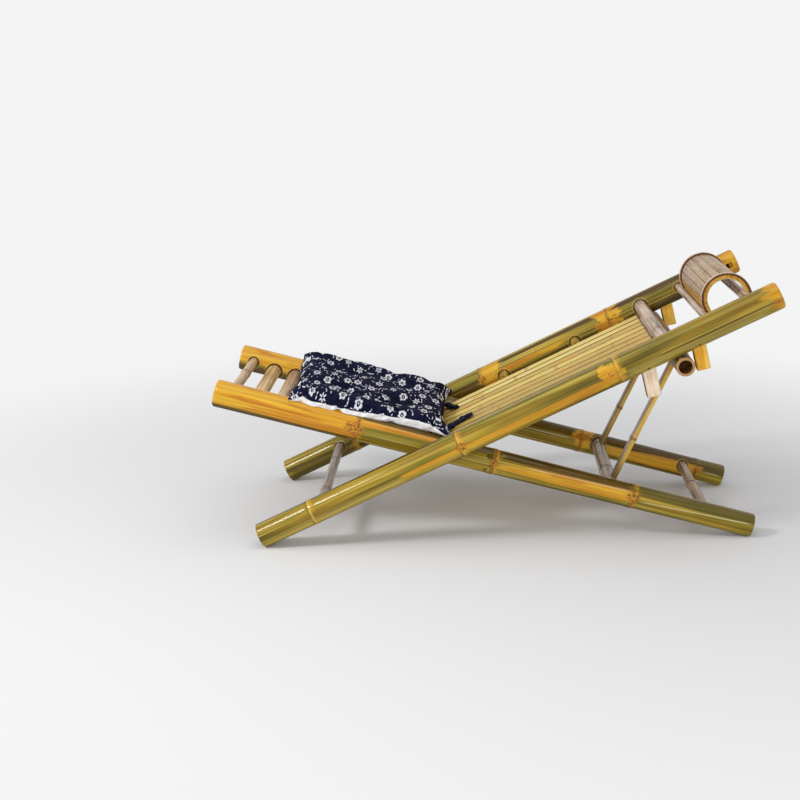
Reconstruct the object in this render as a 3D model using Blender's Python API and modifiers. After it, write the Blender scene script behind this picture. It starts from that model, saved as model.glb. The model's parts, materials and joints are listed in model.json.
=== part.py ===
"""Folding bamboo lounge chair.

Two bamboo frames cross like scissors on one axle. The back frame runs from the front feet up to the
headrest and carries a bed of split slats. The seat frame runs from the seat's front edge down to the
rear feet and carries rungs and a tufted cushion. A hinged prop stands on the seat frame, and its top
bar bears under the back poles against a pair of pegs.

Metres, +Z up, +X towards the head end, origin on the floor under the middle of the chair. Each frame
has its own empty: local X runs along the frame's poles and local Z points to the sitter's side.
"""
import math

import bmesh
import bpy
from mathutils import Matrix, Vector

# Stance: the slopes of the two frames and how far they reach from the axle
BACK_ANGLE = math.radians(25.4)
SEAT_ANGLE = math.radians(14.8)
BACK_FOOT_REACH = 0.464
BACK_TOP_REACH = 0.866
SEAT_FRONT_REACH = 0.543
FOOT_TRIM = 0.0025

# Bamboo culms of the two frames. Nodes are measured from the axle: up the back poles, and towards the
# front along the seat rails
BACK_POLE_Y = 0.270
FRAME_SIDE_GAP = 0.0045
BACK_FOOT_RADIUS = 0.030
BACK_TOP_RADIUS = 0.032
SEAT_FRONT_RADIUS = 0.033
SEAT_REAR_RADIUS = 0.028
CULM_WALL = 0.0075
CULM_END_PLUG = 0.018
CULM_END_ROUND = 0.004
NODE_RIDGE = 0.0018
NODE_HALF_WIDTH = 0.006
CULM_SIDES = 20
BACK_NODES = {"left": (-0.335, 0.083, 0.479), "right": (-0.259, 0.132, 0.504)}
SEAT_NODES = {"left": (-0.482, -0.142, 0.252), "right": (-0.704, -0.389, -0.060, 0.275)}

# Clearances
SEAT_GAP = 0.0003
RUNNING_GAP = 0.0004
TENON_PAST_WALL = 0.010

# Crossbars of the back frame: distance up the poles, height off their axis, radius
FRONT_STRETCHER = (-0.300, 0.005, 0.012)
AXLE_RADIUS = 0.0155
BED_BAR_REACHES = {"lower_crossbar": 0.189, "middle_crossbar": 0.398}
BED_BAR_RADIUS = 0.0135
BED_BAR_FLAT_SHARE = 0.20
UPPER_CROSSBAR = (0.592, 0.001, 0.017)
SPARE_SOCKET_FROM_TOP = 0.023
SPARE_SOCKET_SIZE = (0.017, 0.014)
SPARE_SOCKET_DEPTH = 0.008
BAR_SIDES = 16

# Back slats: split bamboo strips that fan out a little towards the head
SLAT_COUNT = 8
SLAT_THICKNESS = 0.006
SLAT_GAP = 0.0016
SLAT_RAIL_GAP = 0.006
SLAT_TOP_HALF_WIDTH = 0.180
SLAT_TENON_SHOULDER = 0.0012
SLAT_TENON_LENGTH = 0.007
SLAT_EDGE_ROUND = 0.0012

# Headrest: a barrel of strips between two bent rims on two bars. The bars are given by their step along
# the poles from the barrel's centre, height off the poles' axis and radius
HEADREST_FROM_TOP = 0.1015
HEADREST_HEIGHT = 0.0225
HEADREST_LOWER_BAR = (-0.0625, 0.0055, 0.0095)
HEADREST_UPPER_BAR = (0.0395, 0.008, 0.0115)
HEADREST_RADIUS = 0.0565
HEADREST_HALF_WIDTH = 0.174
RIM_DEPTH = 0.0125
RIM_WIDTH = 0.009
RIM_LEDGE_WIDTH = 0.010
RIM_LEDGE_DEPTH = 0.005
RIM_LEG_HEIGHT = 0.022
RIM_ARC_STEPS = 14
BARREL_STRIP_COUNT = 8
BARREL_STRIP_THICKNESS = 0.005
BARREL_STRIP_PITCH = math.radians(21.5)
BARREL_STRIP_LEAN = math.radians(9.5)
BARREL_STRIP_GAP = 0.0010
APRON_STRIP_HEIGHT = 0.016

# Pegs under the back poles that hold the prop: length along the pole, drop below its axis. They lean
# from the square towards the seat
PEG_WIDTH = 0.028
PEG_TOP_DEPTH = 0.016
PEG_LEAN = math.radians(12)
UPPER_PEG_LENGTH = 0.031
UPPER_PEG_DROP = 0.081
UPPER_PEG_PROP_GAP = 0.004
PEG_PITCH = 0.126
LOWER_PEG_LENGTH = 0.033
LOWER_PEG_DROP = 0.090
PEG_EDGE_ROUND = 0.003
PEG_PIN_RADIUS = 0.0022
PEG_PIN_DROP = 0.021
PEG_PIN_BITE = 0.006
PEG_PIN_PROUD = 0.001
PIN_SIDES = 8

# Seat rungs and the rear stretcher of the seat frame
FIRST_RUNG_FROM_FRONT = 0.038
FIRST_RUNG_HEIGHT = 0.001
FIRST_RUNG_RADIUS = 0.012
FIRST_SPLIT_RUNG_STEP = 0.059
SPLIT_RUNG_PITCH = 0.0575
SPLIT_RUNG_COUNT = 6
SPLIT_RUNG_RADIUS = 0.019
SPLIT_RUNG_TOP = 0.007
SPLIT_RUNG_THICKNESS = 0.014
REAR_STRETCHER = (0.666, 0.005, 0.013)

# Prop: foot bar on the seat rails, two struts, hollow top bar under the back poles
PROP_FOOT_REACH = 0.434
PROP_FOOT_HEIGHT = 0.005
PROP_FOOT_RADIUS = 0.017
PROP_TOP_REACH = 0.607
PROP_TOP_RADIUS = 0.022
PROP_TOP_BORE = 0.0155
PROP_TOP_OVERHANG = 0.030
STRUT_Y = 0.155
STRUT_WIDTH = 0.022
STRUT_THICKNESS = 0.013
STRUT_TENON = 0.009
STRUT_EDGE_ROUND = 0.003

# Cushion: a tufted pad lying on the rungs and over the rails
CUSHION_FRONT = -0.377
CUSHION_REAR = 0.012
CUSHION_HALF_WIDTH = 0.213
CUSHION_CROWN = 0.050
CUSHION_EDGE = 0.024
CUSHION_CORNER = 0.012
CUSHION_DRAW_IN = 0.010
CUSHION_BULGE = 0.006
CUSHION_CUT_COUNT = 13
CUSHION_SIDE_CUT_COUNT = 2
TUFT_COUNT = 2
TUFT_DEPTH = 0.013
TUFT_SPREAD = 0.024
TUFT_SHARE = 0.333

# Fabric ties at the cushion's rear corners, lying on the slats: distance up the back and Y
TIE_RADIUS = 0.006
TIE_ROUTES = {
    "left": ((0.030, -0.112), (0.052, -0.094), (0.076, -0.082), (0.100, -0.075)),
    "right": ((0.030, 0.140), (0.036, 0.116), (0.044, 0.092), (0.056, 0.070)),
}

SIDES = {"left": -1, "right": 1}

# Sizes that follow from the driving dimensions
PIVOT_HEIGHT = (BACK_FOOT_REACH * math.sin(BACK_ANGLE)
                + BACK_FOOT_RADIUS * math.cos(BACK_ANGLE) - FOOT_TRIM)
SEAT_REAR_REACH = ((PIVOT_HEIGHT + FOOT_TRIM - SEAT_REAR_RADIUS * math.cos(SEAT_ANGLE))
                   / math.sin(SEAT_ANGLE))
FRONT_LIMIT = (SEAT_FRONT_REACH * math.cos(SEAT_ANGLE)
               + (SEAT_FRONT_RADIUS - CULM_END_ROUND) * math.sin(SEAT_ANGLE))
HEAD_LIMIT = (BACK_TOP_REACH * math.cos(BACK_ANGLE)
              + (BACK_TOP_RADIUS - CULM_END_ROUND) * math.sin(BACK_ANGLE))
PIVOT_X = (FRONT_LIMIT - HEAD_LIMIT) / 2


def back_pole_radius(reach):
    """Radius of a back pole at a distance up from the axle."""
    share = (reach + BACK_FOOT_REACH) / (BACK_FOOT_REACH + BACK_TOP_REACH)
    return BACK_FOOT_RADIUS + (BACK_TOP_RADIUS - BACK_FOOT_RADIUS) * share


def seat_rail_radius(reach):
    """Radius of a seat rail at a distance rearwards from the axle."""
    share = (SEAT_REAR_REACH - reach) / (SEAT_REAR_REACH + SEAT_FRONT_REACH)
    return SEAT_REAR_RADIUS + (SEAT_FRONT_RADIUS - SEAT_REAR_RADIUS) * share


SEAT_RAIL_Y = BACK_POLE_Y - back_pole_radius(0) - FRAME_SIDE_GAP - seat_rail_radius(0)
SLAT_LOW_HALF_WIDTH = SEAT_RAIL_Y - seat_rail_radius(0) - SLAT_RAIL_GAP
SLAT_START = AXLE_RADIUS + SEAT_GAP
SLAT_END = UPPER_CROSSBAR[0] - UPPER_CROSSBAR[2] - SEAT_GAP
PROP_TOP_HEIGHT = -(back_pole_radius(PROP_TOP_REACH) + PROP_TOP_RADIUS + SEAT_GAP)
PEG_BEARING = PROP_TOP_RADIUS + UPPER_PEG_PROP_GAP - PROP_TOP_HEIGHT * math.sin(PEG_LEAN)
UPPER_PEG_REACH = PROP_TOP_REACH + PEG_BEARING / math.cos(PEG_LEAN)
LOWER_PEG_REACH = UPPER_PEG_REACH - PEG_PITCH
PROP_TOP_HALF_LENGTH = BACK_POLE_Y + PROP_TOP_OVERHANG
FIRST_RUNG_REACH = FIRST_RUNG_FROM_FRONT - SEAT_FRONT_REACH
SPLIT_RUNG_REACH = FIRST_RUNG_REACH + FIRST_SPLIT_RUNG_STEP
HEADREST_REACH = BACK_TOP_REACH - HEADREST_FROM_TOP
SPARE_SOCKET_REACH = BACK_TOP_REACH - SPARE_SOCKET_FROM_TOP


# Scene, frames and materials
for old in list(bpy.data.objects):
    bpy.data.objects.remove(old, do_unlink=True)

parts = bpy.data.collections.new("bamboo_lounge_chair")
cutters = bpy.data.collections.new("cutters")
for group in (parts, cutters):
    bpy.context.scene.collection.children.link(group)


def make_frame(name, location, pitch):
    """An empty whose X axis runs along a frame, turned about Y."""
    empty = bpy.data.objects.new(name, None)
    empty.location = location
    empty.rotation_euler = (0, pitch, 0)
    parts.objects.link(empty)
    return empty


def along(angle, reach, height):
    """World place in the XZ plane, from the axle, of a point in a sloping frame."""
    x = PIVOT_X + reach * math.cos(angle) - height * math.sin(angle)
    z = PIVOT_HEIGHT + reach * math.sin(angle) + height * math.cos(angle)
    return Vector((x, 0, z))


PIVOT = Vector((PIVOT_X, 0, PIVOT_HEIGHT))
PROP_FOOT = along(-SEAT_ANGLE, PROP_FOOT_REACH, PROP_FOOT_HEIGHT)
PROP_TOP = along(BACK_ANGLE, PROP_TOP_REACH, PROP_TOP_HEIGHT)
PROP_LENGTH = (PROP_TOP - PROP_FOOT).length
PROP_ANGLE = math.atan2(PROP_TOP.z - PROP_FOOT.z, PROP_TOP.x - PROP_FOOT.x)

seat_frame = make_frame("seat_frame_axis", PIVOT, SEAT_ANGLE)
back_frame = make_frame("back_frame_axis", PIVOT, -BACK_ANGLE)
prop_frame = make_frame("prop_axis", PROP_FOOT, -PROP_ANGLE)


def finish(name, colour, roughness):
    """A plain surface colour for one kind of piece."""
    material = bpy.data.materials.new(name)
    material.use_nodes = True
    shader = material.node_tree.nodes["Principled BSDF"]
    shader.inputs["Base Color"].default_value = (*colour, 1)
    shader.inputs["Roughness"].default_value = roughness
    shader.inputs["Metallic"].default_value = 0
    return material


OLIVE_CULM = finish("olive_culm", (0.33, 0.24, 0.045), 0.3)
WEATHERED_ROD = finish("weathered_rod", (0.36, 0.29, 0.19), 0.5)
STRAW_SLAT = finish("straw_slat", (0.55, 0.38, 0.13), 0.4)
PALE_STRIP = finish("pale_strip", (0.56, 0.43, 0.31), 0.5)
AMBER_BAMBOO = finish("amber_bamboo", (0.50, 0.25, 0.05), 0.35)
FRESH_PEG = finish("fresh_peg", (0.72, 0.55, 0.30), 0.6)
PIN_WOOD = finish("pin_wood", (0.10, 0.05, 0.02), 0.6)
NAVY_CALICO = finish("navy_calico", (0.012, 0.016, 0.06), 0.9)


def add_object(name, mesh, parent, location, rotation, material):
    """One finished piece in a frame, or a cutter when it has no material."""
    thing = bpy.data.objects.new(name, mesh)
    thing.parent = parent
    thing.location = location
    thing.rotation_euler = rotation
    if material is None:
        thing.hide_render = True
        thing.display_type = "WIRE"
        cutters.objects.link(thing)
    else:
        mesh.materials.append(material)
        parts.objects.link(thing)
    return thing


def cut(piece, *tools):
    """Cuts each tool's shape out of a piece, all of them in one step."""
    group = bpy.data.collections.get(piece.name + "_cuts")
    if group is None:
        group = bpy.data.collections.new(piece.name + "_cuts")
        cutters.children.link(group)
        boolean = piece.modifiers.new("cuts", "BOOLEAN")
        boolean.operation = "DIFFERENCE"
        boolean.solver = "EXACT"
        boolean.operand_type = "COLLECTION"
        boolean.collection = group
    for tool in tools:
        group.objects.link(tool)


def round_edges(piece, width, segments):
    """Rounds a piece's sharp edges."""
    bevel = piece.modifiers.new("rounded_edges", "BEVEL")
    bevel.width = width
    bevel.segments = segments
    bevel.limit_method = "ANGLE"


def turned(name, profile, sides, parent, location, rotation, material):
    """A body turned round its local Z from (radius, z) points, top to bottom down the outer side."""
    mesh = bpy.data.meshes.new(name)
    points = [(radius, 0, z) for radius, z in profile]
    mesh.from_pydata(points, [(i, i + 1) for i in range(len(points) - 1)], [])
    thing = add_object(name, mesh, parent, location, rotation, material)
    screw = thing.modifiers.new("turn", "SCREW")
    screw.axis = "Z"
    screw.steps = sides
    screw.render_steps = sides
    screw.use_merge_vertices = True
    screw.merge_threshold = 0.00005
    screw.use_smooth_shade = False
    return thing


def box_mesh(name, boxes):
    """A mesh of separate boxes, each given by its low and high corners."""
    shape = bmesh.new()
    for low, high in boxes:
        low, high = Vector(low), Vector(high)
        place = Matrix.Translation((low + high) / 2) @ Matrix.Diagonal((*(high - low), 1))
        bmesh.ops.create_cube(shape, size=1, matrix=place)
    mesh = bpy.data.meshes.new(name)
    shape.to_mesh(mesh)
    shape.free()
    return mesh


ACROSS = (math.radians(-90), 0, 0)

# Culms: hollow poles and rails, closed by a node at the upper end and open at the foot


def culm_profile(foot, top, radius_at, nodes):
    """Closed turned outline of a hollow culm with raised nodes."""
    outline = [(0, top), (radius_at(top) - CULM_END_ROUND, top), (radius_at(top), top - CULM_END_ROUND)]
    for node in sorted(nodes, reverse=True):
        radius = radius_at(node)
        outline.append((radius, node + NODE_HALF_WIDTH))
        outline.append((radius + NODE_RIDGE, node + NODE_HALF_WIDTH / 3))
        outline.append((radius + NODE_RIDGE, node - NODE_HALF_WIDTH / 3))
        outline.append((radius, node - NODE_HALF_WIDTH))
    bore_end = top - CULM_END_PLUG
    outline.append((radius_at(foot), foot))
    outline.append((radius_at(foot) - CULM_WALL, foot))
    outline.append((radius_at(bore_end) - CULM_WALL, bore_end))
    outline.append((0, bore_end))
    return outline


back_poles = {}
seat_rails = {}
UP_THE_BACK = (0, math.radians(90), 0)
TO_SEAT_FRONT = (0, math.radians(-90), 0)
for side, sign in SIDES.items():
    back_outline = culm_profile(-BACK_FOOT_REACH, BACK_TOP_REACH, back_pole_radius, BACK_NODES[side])
    back_poles[side] = turned("back_pole_" + side, back_outline, CULM_SIDES, back_frame,
                              (0, sign * BACK_POLE_Y, 0), UP_THE_BACK, OLIVE_CULM)
    seat_outline = culm_profile(-SEAT_REAR_REACH, SEAT_FRONT_REACH,
                                lambda z: seat_rail_radius(-z), SEAT_NODES[side])
    seat_rails[side] = turned("seat_rail_" + side, seat_outline, CULM_SIDES, seat_frame,
                              (0, sign * SEAT_RAIL_Y, 0), TO_SEAT_FRONT, OLIVE_CULM)

# Rods across the frames, each with a cutter that makes its sockets


def rod_profile(radius, half_length):
    """Outline of a plain rod with square ends."""
    return [(0, half_length), (radius, half_length), (radius, -half_length), (0, -half_length)]


def socket_radius(radius, running):
    """Socket size: a snug gap for a fixed rod, room for the corners of a turning one."""
    if running:
        return (radius + RUNNING_GAP) / math.cos(math.pi / BAR_SIDES)
    return radius + SEAT_GAP


def rod(name, parent, reach, height, radius, half_length, material):
    """A round rod across a frame."""
    return turned(name, rod_profile(radius, half_length), BAR_SIDES, parent, (reach, 0, height),
                  ACROSS, material)


def rod_socket(name, parent, reach, height, radius, half_length, running=False):
    """The cutter for a rod's sockets."""
    return rod(name + "_socket", parent, reach, height, socket_radius(radius, running),
               half_length + SEAT_GAP, None)


def back_tenon_end(reach):
    """How far out a rod reaches into a back pole's hollow."""
    return BACK_POLE_Y - back_pole_radius(reach) + CULM_WALL + TENON_PAST_WALL


def seat_tenon_end(reach):
    """How far out a rod reaches into a seat rail's hollow."""
    return SEAT_RAIL_Y - seat_rail_radius(reach) + CULM_WALL + TENON_PAST_WALL


# Back frame: front stretcher, axle, bed bars, upper crossbar and headrest bars
BACK_RODS = {
    "front_stretcher": FRONT_STRETCHER,
    "pivot_axle": (0, 0, AXLE_RADIUS),
    "upper_crossbar": UPPER_CROSSBAR,
}
for headrest_bar, (step, height, radius) in (
        ("headrest_lower_bar", HEADREST_LOWER_BAR), ("headrest_upper_bar", HEADREST_UPPER_BAR)):
    BACK_RODS[headrest_bar] = (HEADREST_REACH + step, height, radius)
BED_BAR_FLAT = -SLAT_THICKNESS - SEAT_GAP
BED_BAR_HEIGHT = BED_BAR_FLAT - BED_BAR_RADIUS * BED_BAR_FLAT_SHARE
for bed_bar, bar_reach in BED_BAR_REACHES.items():
    BACK_RODS[bed_bar] = (bar_reach, BED_BAR_HEIGHT, BED_BAR_RADIUS)

back_rods = {}
back_sockets = {}
for rod_name, (reach, height, radius) in BACK_RODS.items():
    rod_end = back_tenon_end(reach)
    back_rods[rod_name] = rod(rod_name, back_frame, reach, height, radius, rod_end, WEATHERED_ROD)
    back_sockets[rod_name] = rod_socket(rod_name, back_frame, reach, height, radius, rod_end)
for pole in back_poles.values():
    cut(pole, *back_sockets.values())

axle_bearing = rod_socket("axle_bearing", seat_frame, 0, 0, AXLE_RADIUS, BACK_POLE_Y, running=True)
for rail in seat_rails.values():
    cut(rail, axle_bearing)

# The two bed bars are halved flat where the slats lie on them
bed_low = (-BED_BAR_RADIUS * 2, -SLAT_TOP_HALF_WIDTH - SEAT_GAP, BED_BAR_FLAT)
bed_high = (BED_BAR_RADIUS * 2, SLAT_TOP_HALF_WIDTH + SEAT_GAP, BED_BAR_RADIUS * 2)
for bed_bar, bar_reach in BED_BAR_REACHES.items():
    flat = add_object(bed_bar + "_flat", box_mesh(bed_bar + "_flat", [(bed_low, bed_high)]), back_frame,
                      (bar_reach, 0, 0), (0, 0, 0), None)
    cut(back_rods[bed_bar], flat)

# Empty square sockets near the poles' upper ends
socket_length, socket_height = SPARE_SOCKET_SIZE
socket_inner = BACK_POLE_Y - BACK_TOP_RADIUS
spare_boxes = []
for sign in SIDES.values():
    inner_y = sign * (socket_inner - SPARE_SOCKET_DEPTH)
    deep_y = sign * (socket_inner + SPARE_SOCKET_DEPTH)
    spare_boxes.append(((-socket_length / 2, min(inner_y, deep_y), -socket_height / 2),
                        (socket_length / 2, max(inner_y, deep_y), socket_height / 2)))
spare_sockets = add_object("spare_sockets", box_mesh("spare_sockets", spare_boxes), back_frame,
                           (SPARE_SOCKET_REACH, 0, 0), (0, 0, 0), None)
for pole in back_poles.values():
    cut(pole, spare_sockets)

# Back slats with a tenon at each end, and the pockets they enter


def slat_span(index, reach):
    """Low and high Y of one slat at a distance up the back."""
    share = (reach - SLAT_START) / (SLAT_END - SLAT_START)
    half_width = SLAT_LOW_HALF_WIDTH + (SLAT_TOP_HALF_WIDTH - SLAT_LOW_HALF_WIDTH) * share
    pitch = (2 * half_width + SLAT_GAP) / SLAT_COUNT
    low = -half_width + index * pitch
    return low, low + pitch - SLAT_GAP


def slat_mesh(name, index):
    """A flat tapering strip whose ends are stepped down to tenons."""
    shape = bmesh.new()
    bmesh.ops.create_cube(shape, size=1)
    for vertex in shape.verts:
        reach = SLAT_START if vertex.co.x < 0 else SLAT_END
        low, high = slat_span(index, reach)
        vertex.co = (reach, low if vertex.co.y < 0 else high, 0 if vertex.co.z > 0 else -SLAT_THICKNESS)
    ends = [face for face in shape.faces if abs(face.normal.x) > 0.9]
    bmesh.ops.inset_individual(shape, faces=ends, thickness=SLAT_TENON_SHOULDER, use_even_offset=True)
    for face in bmesh.ops.extrude_discrete_faces(shape, faces=ends)["faces"]:
        push = SLAT_TENON_LENGTH if face.normal.x > 0 else -SLAT_TENON_LENGTH
        bmesh.ops.translate(shape, verts=face.verts, vec=(push, 0, 0))
    long_edges = [edge for edge in shape.edges
                  if edge.calc_length() > SLAT_END / 2 and edge.verts[0].co.z > -SLAT_THICKNESS / 2]
    bmesh.ops.bevel(shape, geom=long_edges, offset=SLAT_EDGE_ROUND, segments=1, affect="EDGES")
    mesh = bpy.data.meshes.new(name)
    shape.to_mesh(mesh)
    shape.free()
    return mesh


pocket_boxes = []
for index in range(SLAT_COUNT):
    slat_name = "back_slat_%d" % (index + 1)
    add_object(slat_name, slat_mesh(slat_name, index), back_frame, (0, 0, 0), (0, 0, 0), STRAW_SLAT)
    for reach, inward in ((SLAT_START, -1), (SLAT_END, 1)):
        low, high = slat_span(index, reach)
        tip = reach + inward * (SLAT_TENON_LENGTH + SEAT_GAP)
        mouth = reach - inward * SLAT_TENON_LENGTH
        shoulder = SLAT_TENON_SHOULDER - SEAT_GAP
        pocket_boxes.append(((min(tip, mouth), low + shoulder, -SLAT_THICKNESS + shoulder),
                             (max(tip, mouth), high - shoulder, -shoulder)))
slat_pockets = add_object("slat_pockets", box_mesh("slat_pockets", pocket_boxes), back_frame,
                          (0, 0, 0), (0, 0, 0), None)
cut(back_rods["pivot_axle"], slat_pockets)
cut(back_rods["upper_crossbar"], slat_pockets)

# Headrest rims: an L section bent round an arch with two short legs, coped over the bars


def rim_mesh(name, sign):
    """The rim's outline swept along the arch, its ledge towards the middle of the chair."""
    outer = HEADREST_RADIUS
    inner = HEADREST_RADIUS - RIM_DEPTH
    wall = sign * (HEADREST_HALF_WIDTH - RIM_WIDTH)
    face = sign * HEADREST_HALF_WIDTH
    ledge = sign * (HEADREST_HALF_WIDTH - RIM_WIDTH - RIM_LEDGE_WIDTH)
    section = [(inner, ledge), (inner, face), (outer, face), (outer, wall),
               (inner + RIM_LEDGE_DEPTH, wall), (inner + RIM_LEDGE_DEPTH, ledge)]
    stations = [(math.pi, -RIM_LEG_HEIGHT)]
    stations += [(math.pi * (1 - step / RIM_ARC_STEPS), 0) for step in range(RIM_ARC_STEPS + 1)]
    stations += [(0, -RIM_LEG_HEIGHT)]
    shape = bmesh.new()
    rings = []
    for angle, drop in stations:
        ring = [shape.verts.new((radius * math.cos(angle), y, radius * math.sin(angle) + drop))
                for radius, y in section]
        rings.append(ring)
    for ring, after in zip(rings, rings[1:]):
        for i in range(len(section)):
            j = (i + 1) % len(section)
            shape.faces.new((ring[i], ring[j], after[j], after[i]))
    shape.faces.new(rings[0])
    shape.faces.new(rings[-1])
    bmesh.ops.recalc_face_normals(shape, faces=shape.faces)
    mesh = bpy.data.meshes.new(name)
    shape.to_mesh(mesh)
    shape.free()
    return mesh


HEADREST_CENTRE = (HEADREST_REACH, 0, HEADREST_HEIGHT)
headrest_bar_sockets = (back_sockets["headrest_lower_bar"], back_sockets["headrest_upper_bar"])
for side, sign in SIDES.items():
    rim_name = "headrest_rim_" + side
    rim = add_object(rim_name, rim_mesh(rim_name, sign), back_frame, HEADREST_CENTRE, (0, 0, 0),
                     AMBER_BAMBOO)
    cut(rim, *headrest_bar_sockets)

# Headrest strips: straight slats round the barrel, and an amber apron on the front legs
strip_inner = HEADREST_RADIUS - RIM_DEPTH + RIM_LEDGE_DEPTH + SEAT_GAP
strip_outer = strip_inner + BARREL_STRIP_THICKNESS
strip_end = HEADREST_HALF_WIDTH - RIM_WIDTH - SEAT_GAP
strip_half_width = strip_inner * math.tan(BARREL_STRIP_PITCH / 2) - BARREL_STRIP_GAP / 2
for index in range(BARREL_STRIP_COUNT):
    strip_name = "headrest_strip_%d" % (index + 1)
    turn_from_top = (index - (BARREL_STRIP_COUNT - 1) / 2) * BARREL_STRIP_PITCH - BARREL_STRIP_LEAN
    strip_box = ((-strip_half_width, -strip_end, strip_inner), (strip_half_width, strip_end, strip_outer))
    strip = add_object(strip_name, box_mesh(strip_name, [strip_box]), back_frame, HEADREST_CENTRE,
                       (0, turn_from_top, 0), PALE_STRIP)
    cut(strip, *headrest_bar_sockets)
first_strip_turn = BARREL_STRIP_PITCH * BARREL_STRIP_COUNT / 2 + BARREL_STRIP_LEAN
apron_top = strip_outer * math.cos(first_strip_turn) - BARREL_STRIP_GAP - SEAT_GAP
apron_box = ((-strip_outer, -strip_end, apron_top - APRON_STRIP_HEIGHT),
             (-strip_inner, strip_end, apron_top))
apron = add_object("headrest_apron", box_mesh("headrest_apron", [apron_box]), back_frame, HEADREST_CENTRE,
                   (0, 0, 0), AMBER_BAMBOO)
cut(apron, *headrest_bar_sockets)

# Pegs let into the underside of the back poles, each held by a pin from the outer side
PEGS = {
    "upper_peg": (UPPER_PEG_REACH, UPPER_PEG_LENGTH, UPPER_PEG_DROP, AMBER_BAMBOO),
    "lower_peg": (LOWER_PEG_REACH, LOWER_PEG_LENGTH, LOWER_PEG_DROP, FRESH_PEG),
}
for peg_name, (reach, length, drop, material) in PEGS.items():
    for side, sign in SIDES.items():
        low = Vector((0, -PEG_WIDTH / 2, -drop))
        high = Vector((length, PEG_WIDTH / 2, -PEG_TOP_DEPTH))
        grow = Vector((SEAT_GAP, SEAT_GAP, SEAT_GAP))
        place = (reach, sign * BACK_POLE_Y, 0)
        name = peg_name + "_" + side
        peg = add_object(name, box_mesh(name, [(low, high)]), back_frame, place, (0, PEG_LEAN, 0), material)
        round_edges(peg, PEG_EDGE_ROUND, 1)
        mortise = add_object(name + "_mortise", box_mesh(name + "_mortise", [(low - grow, high + grow)]),
                             back_frame, place, (0, PEG_LEAN, 0), None)
        pole_face = math.sqrt(back_pole_radius(reach) ** 2 - PEG_PIN_DROP ** 2)
        pin_out = pole_face + PEG_PIN_PROUD
        pin_in = PEG_WIDTH / 2 - PEG_PIN_BITE
        pin_reach = reach + length / 2 - PEG_PIN_DROP * math.tan(PEG_LEAN)
        pin_place = (pin_reach, sign * (BACK_POLE_Y + (pin_out + pin_in) / 2), -PEG_PIN_DROP)
        pin_half_length = (pin_out - pin_in) / 2
        turned(name + "_pin", rod_profile(PEG_PIN_RADIUS, pin_half_length), PIN_SIDES, back_frame,
               pin_place, ACROSS, PIN_WOOD)
        pin_socket = turned(name + "_pin_socket",
                            rod_profile(PEG_PIN_RADIUS + SEAT_GAP, pin_half_length + SEAT_GAP), PIN_SIDES,
                            back_frame, pin_place, ACROSS, None)
        cut(peg, pin_socket)
        cut(back_poles[side], mortise, pin_socket)

# Seat frame: first round rung, split rungs and the rear stretcher


def split_rung_mesh(name, radius, thickness, half_length):
    """A half-round rung along Y, its round side up and its crown at local Z 0."""
    shape = bmesh.new()
    turn = Matrix.Translation((0, 0, -radius)) @ Matrix.Rotation(math.radians(90), 4, "X")
    bmesh.ops.create_cone(shape, cap_ends=True, segments=BAR_SIDES, radius1=radius, radius2=radius,
                          depth=2 * half_length, matrix=turn)
    bmesh.ops.bisect_plane(shape, geom=shape.verts[:] + shape.edges[:] + shape.faces[:],
                           plane_co=(0, 0, -thickness), plane_no=(0, 0, -1), clear_outer=True)
    bmesh.ops.holes_fill(shape, edges=[edge for edge in shape.edges if edge.is_boundary])
    mesh = bpy.data.meshes.new(name)
    shape.to_mesh(mesh)
    shape.free()
    return mesh


SEAT_RODS = {
    "seat_rung_1": (FIRST_RUNG_REACH, FIRST_RUNG_HEIGHT, FIRST_RUNG_RADIUS),
    "rear_stretcher": REAR_STRETCHER,
}
for rod_name, (reach, height, radius) in SEAT_RODS.items():
    rod_end = seat_tenon_end(reach)
    rod(rod_name, seat_frame, reach, height, radius, rod_end, WEATHERED_ROD)
    seat_socket = rod_socket(rod_name, seat_frame, reach, height, radius, rod_end)
    for rail in seat_rails.values():
        cut(rail, seat_socket)
for index in range(SPLIT_RUNG_COUNT):
    rung_name = "seat_rung_%d" % (index + 2)
    reach = SPLIT_RUNG_REACH + index * SPLIT_RUNG_PITCH
    rod_end = seat_tenon_end(reach)
    rung = split_rung_mesh(rung_name, SPLIT_RUNG_RADIUS, SPLIT_RUNG_THICKNESS, rod_end)
    add_object(rung_name, rung, seat_frame, (reach, 0, SPLIT_RUNG_TOP), (0, 0, 0), WEATHERED_ROD)
    mortise = split_rung_mesh(rung_name + "_mortise", SPLIT_RUNG_RADIUS + SEAT_GAP,
                              SPLIT_RUNG_THICKNESS + 2 * SEAT_GAP, rod_end + SEAT_GAP)
    mortise_cutter = add_object(rung_name + "_mortise", mortise, seat_frame,
                                (reach, 0, SPLIT_RUNG_TOP + SEAT_GAP), (0, 0, 0), None)
    for rail in seat_rails.values():
        cut(rail, mortise_cutter)

# Feet: the four lower ends are trimmed level with the floor
FLOOR_CUT = 2 * (BACK_TOP_REACH + SEAT_REAR_REACH)
floor_box = ((-FLOOR_CUT, -FLOOR_CUT, -FLOOR_CUT), (FLOOR_CUT, FLOOR_CUT, 0))
floor_cutter = add_object("floor_cutter", box_mesh("floor_cutter", [floor_box]), None, (0, 0, 0),
                          (0, 0, 0), None)
for culm in list(back_poles.values()) + list(seat_rails.values()):
    cut(culm, floor_cutter)

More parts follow.
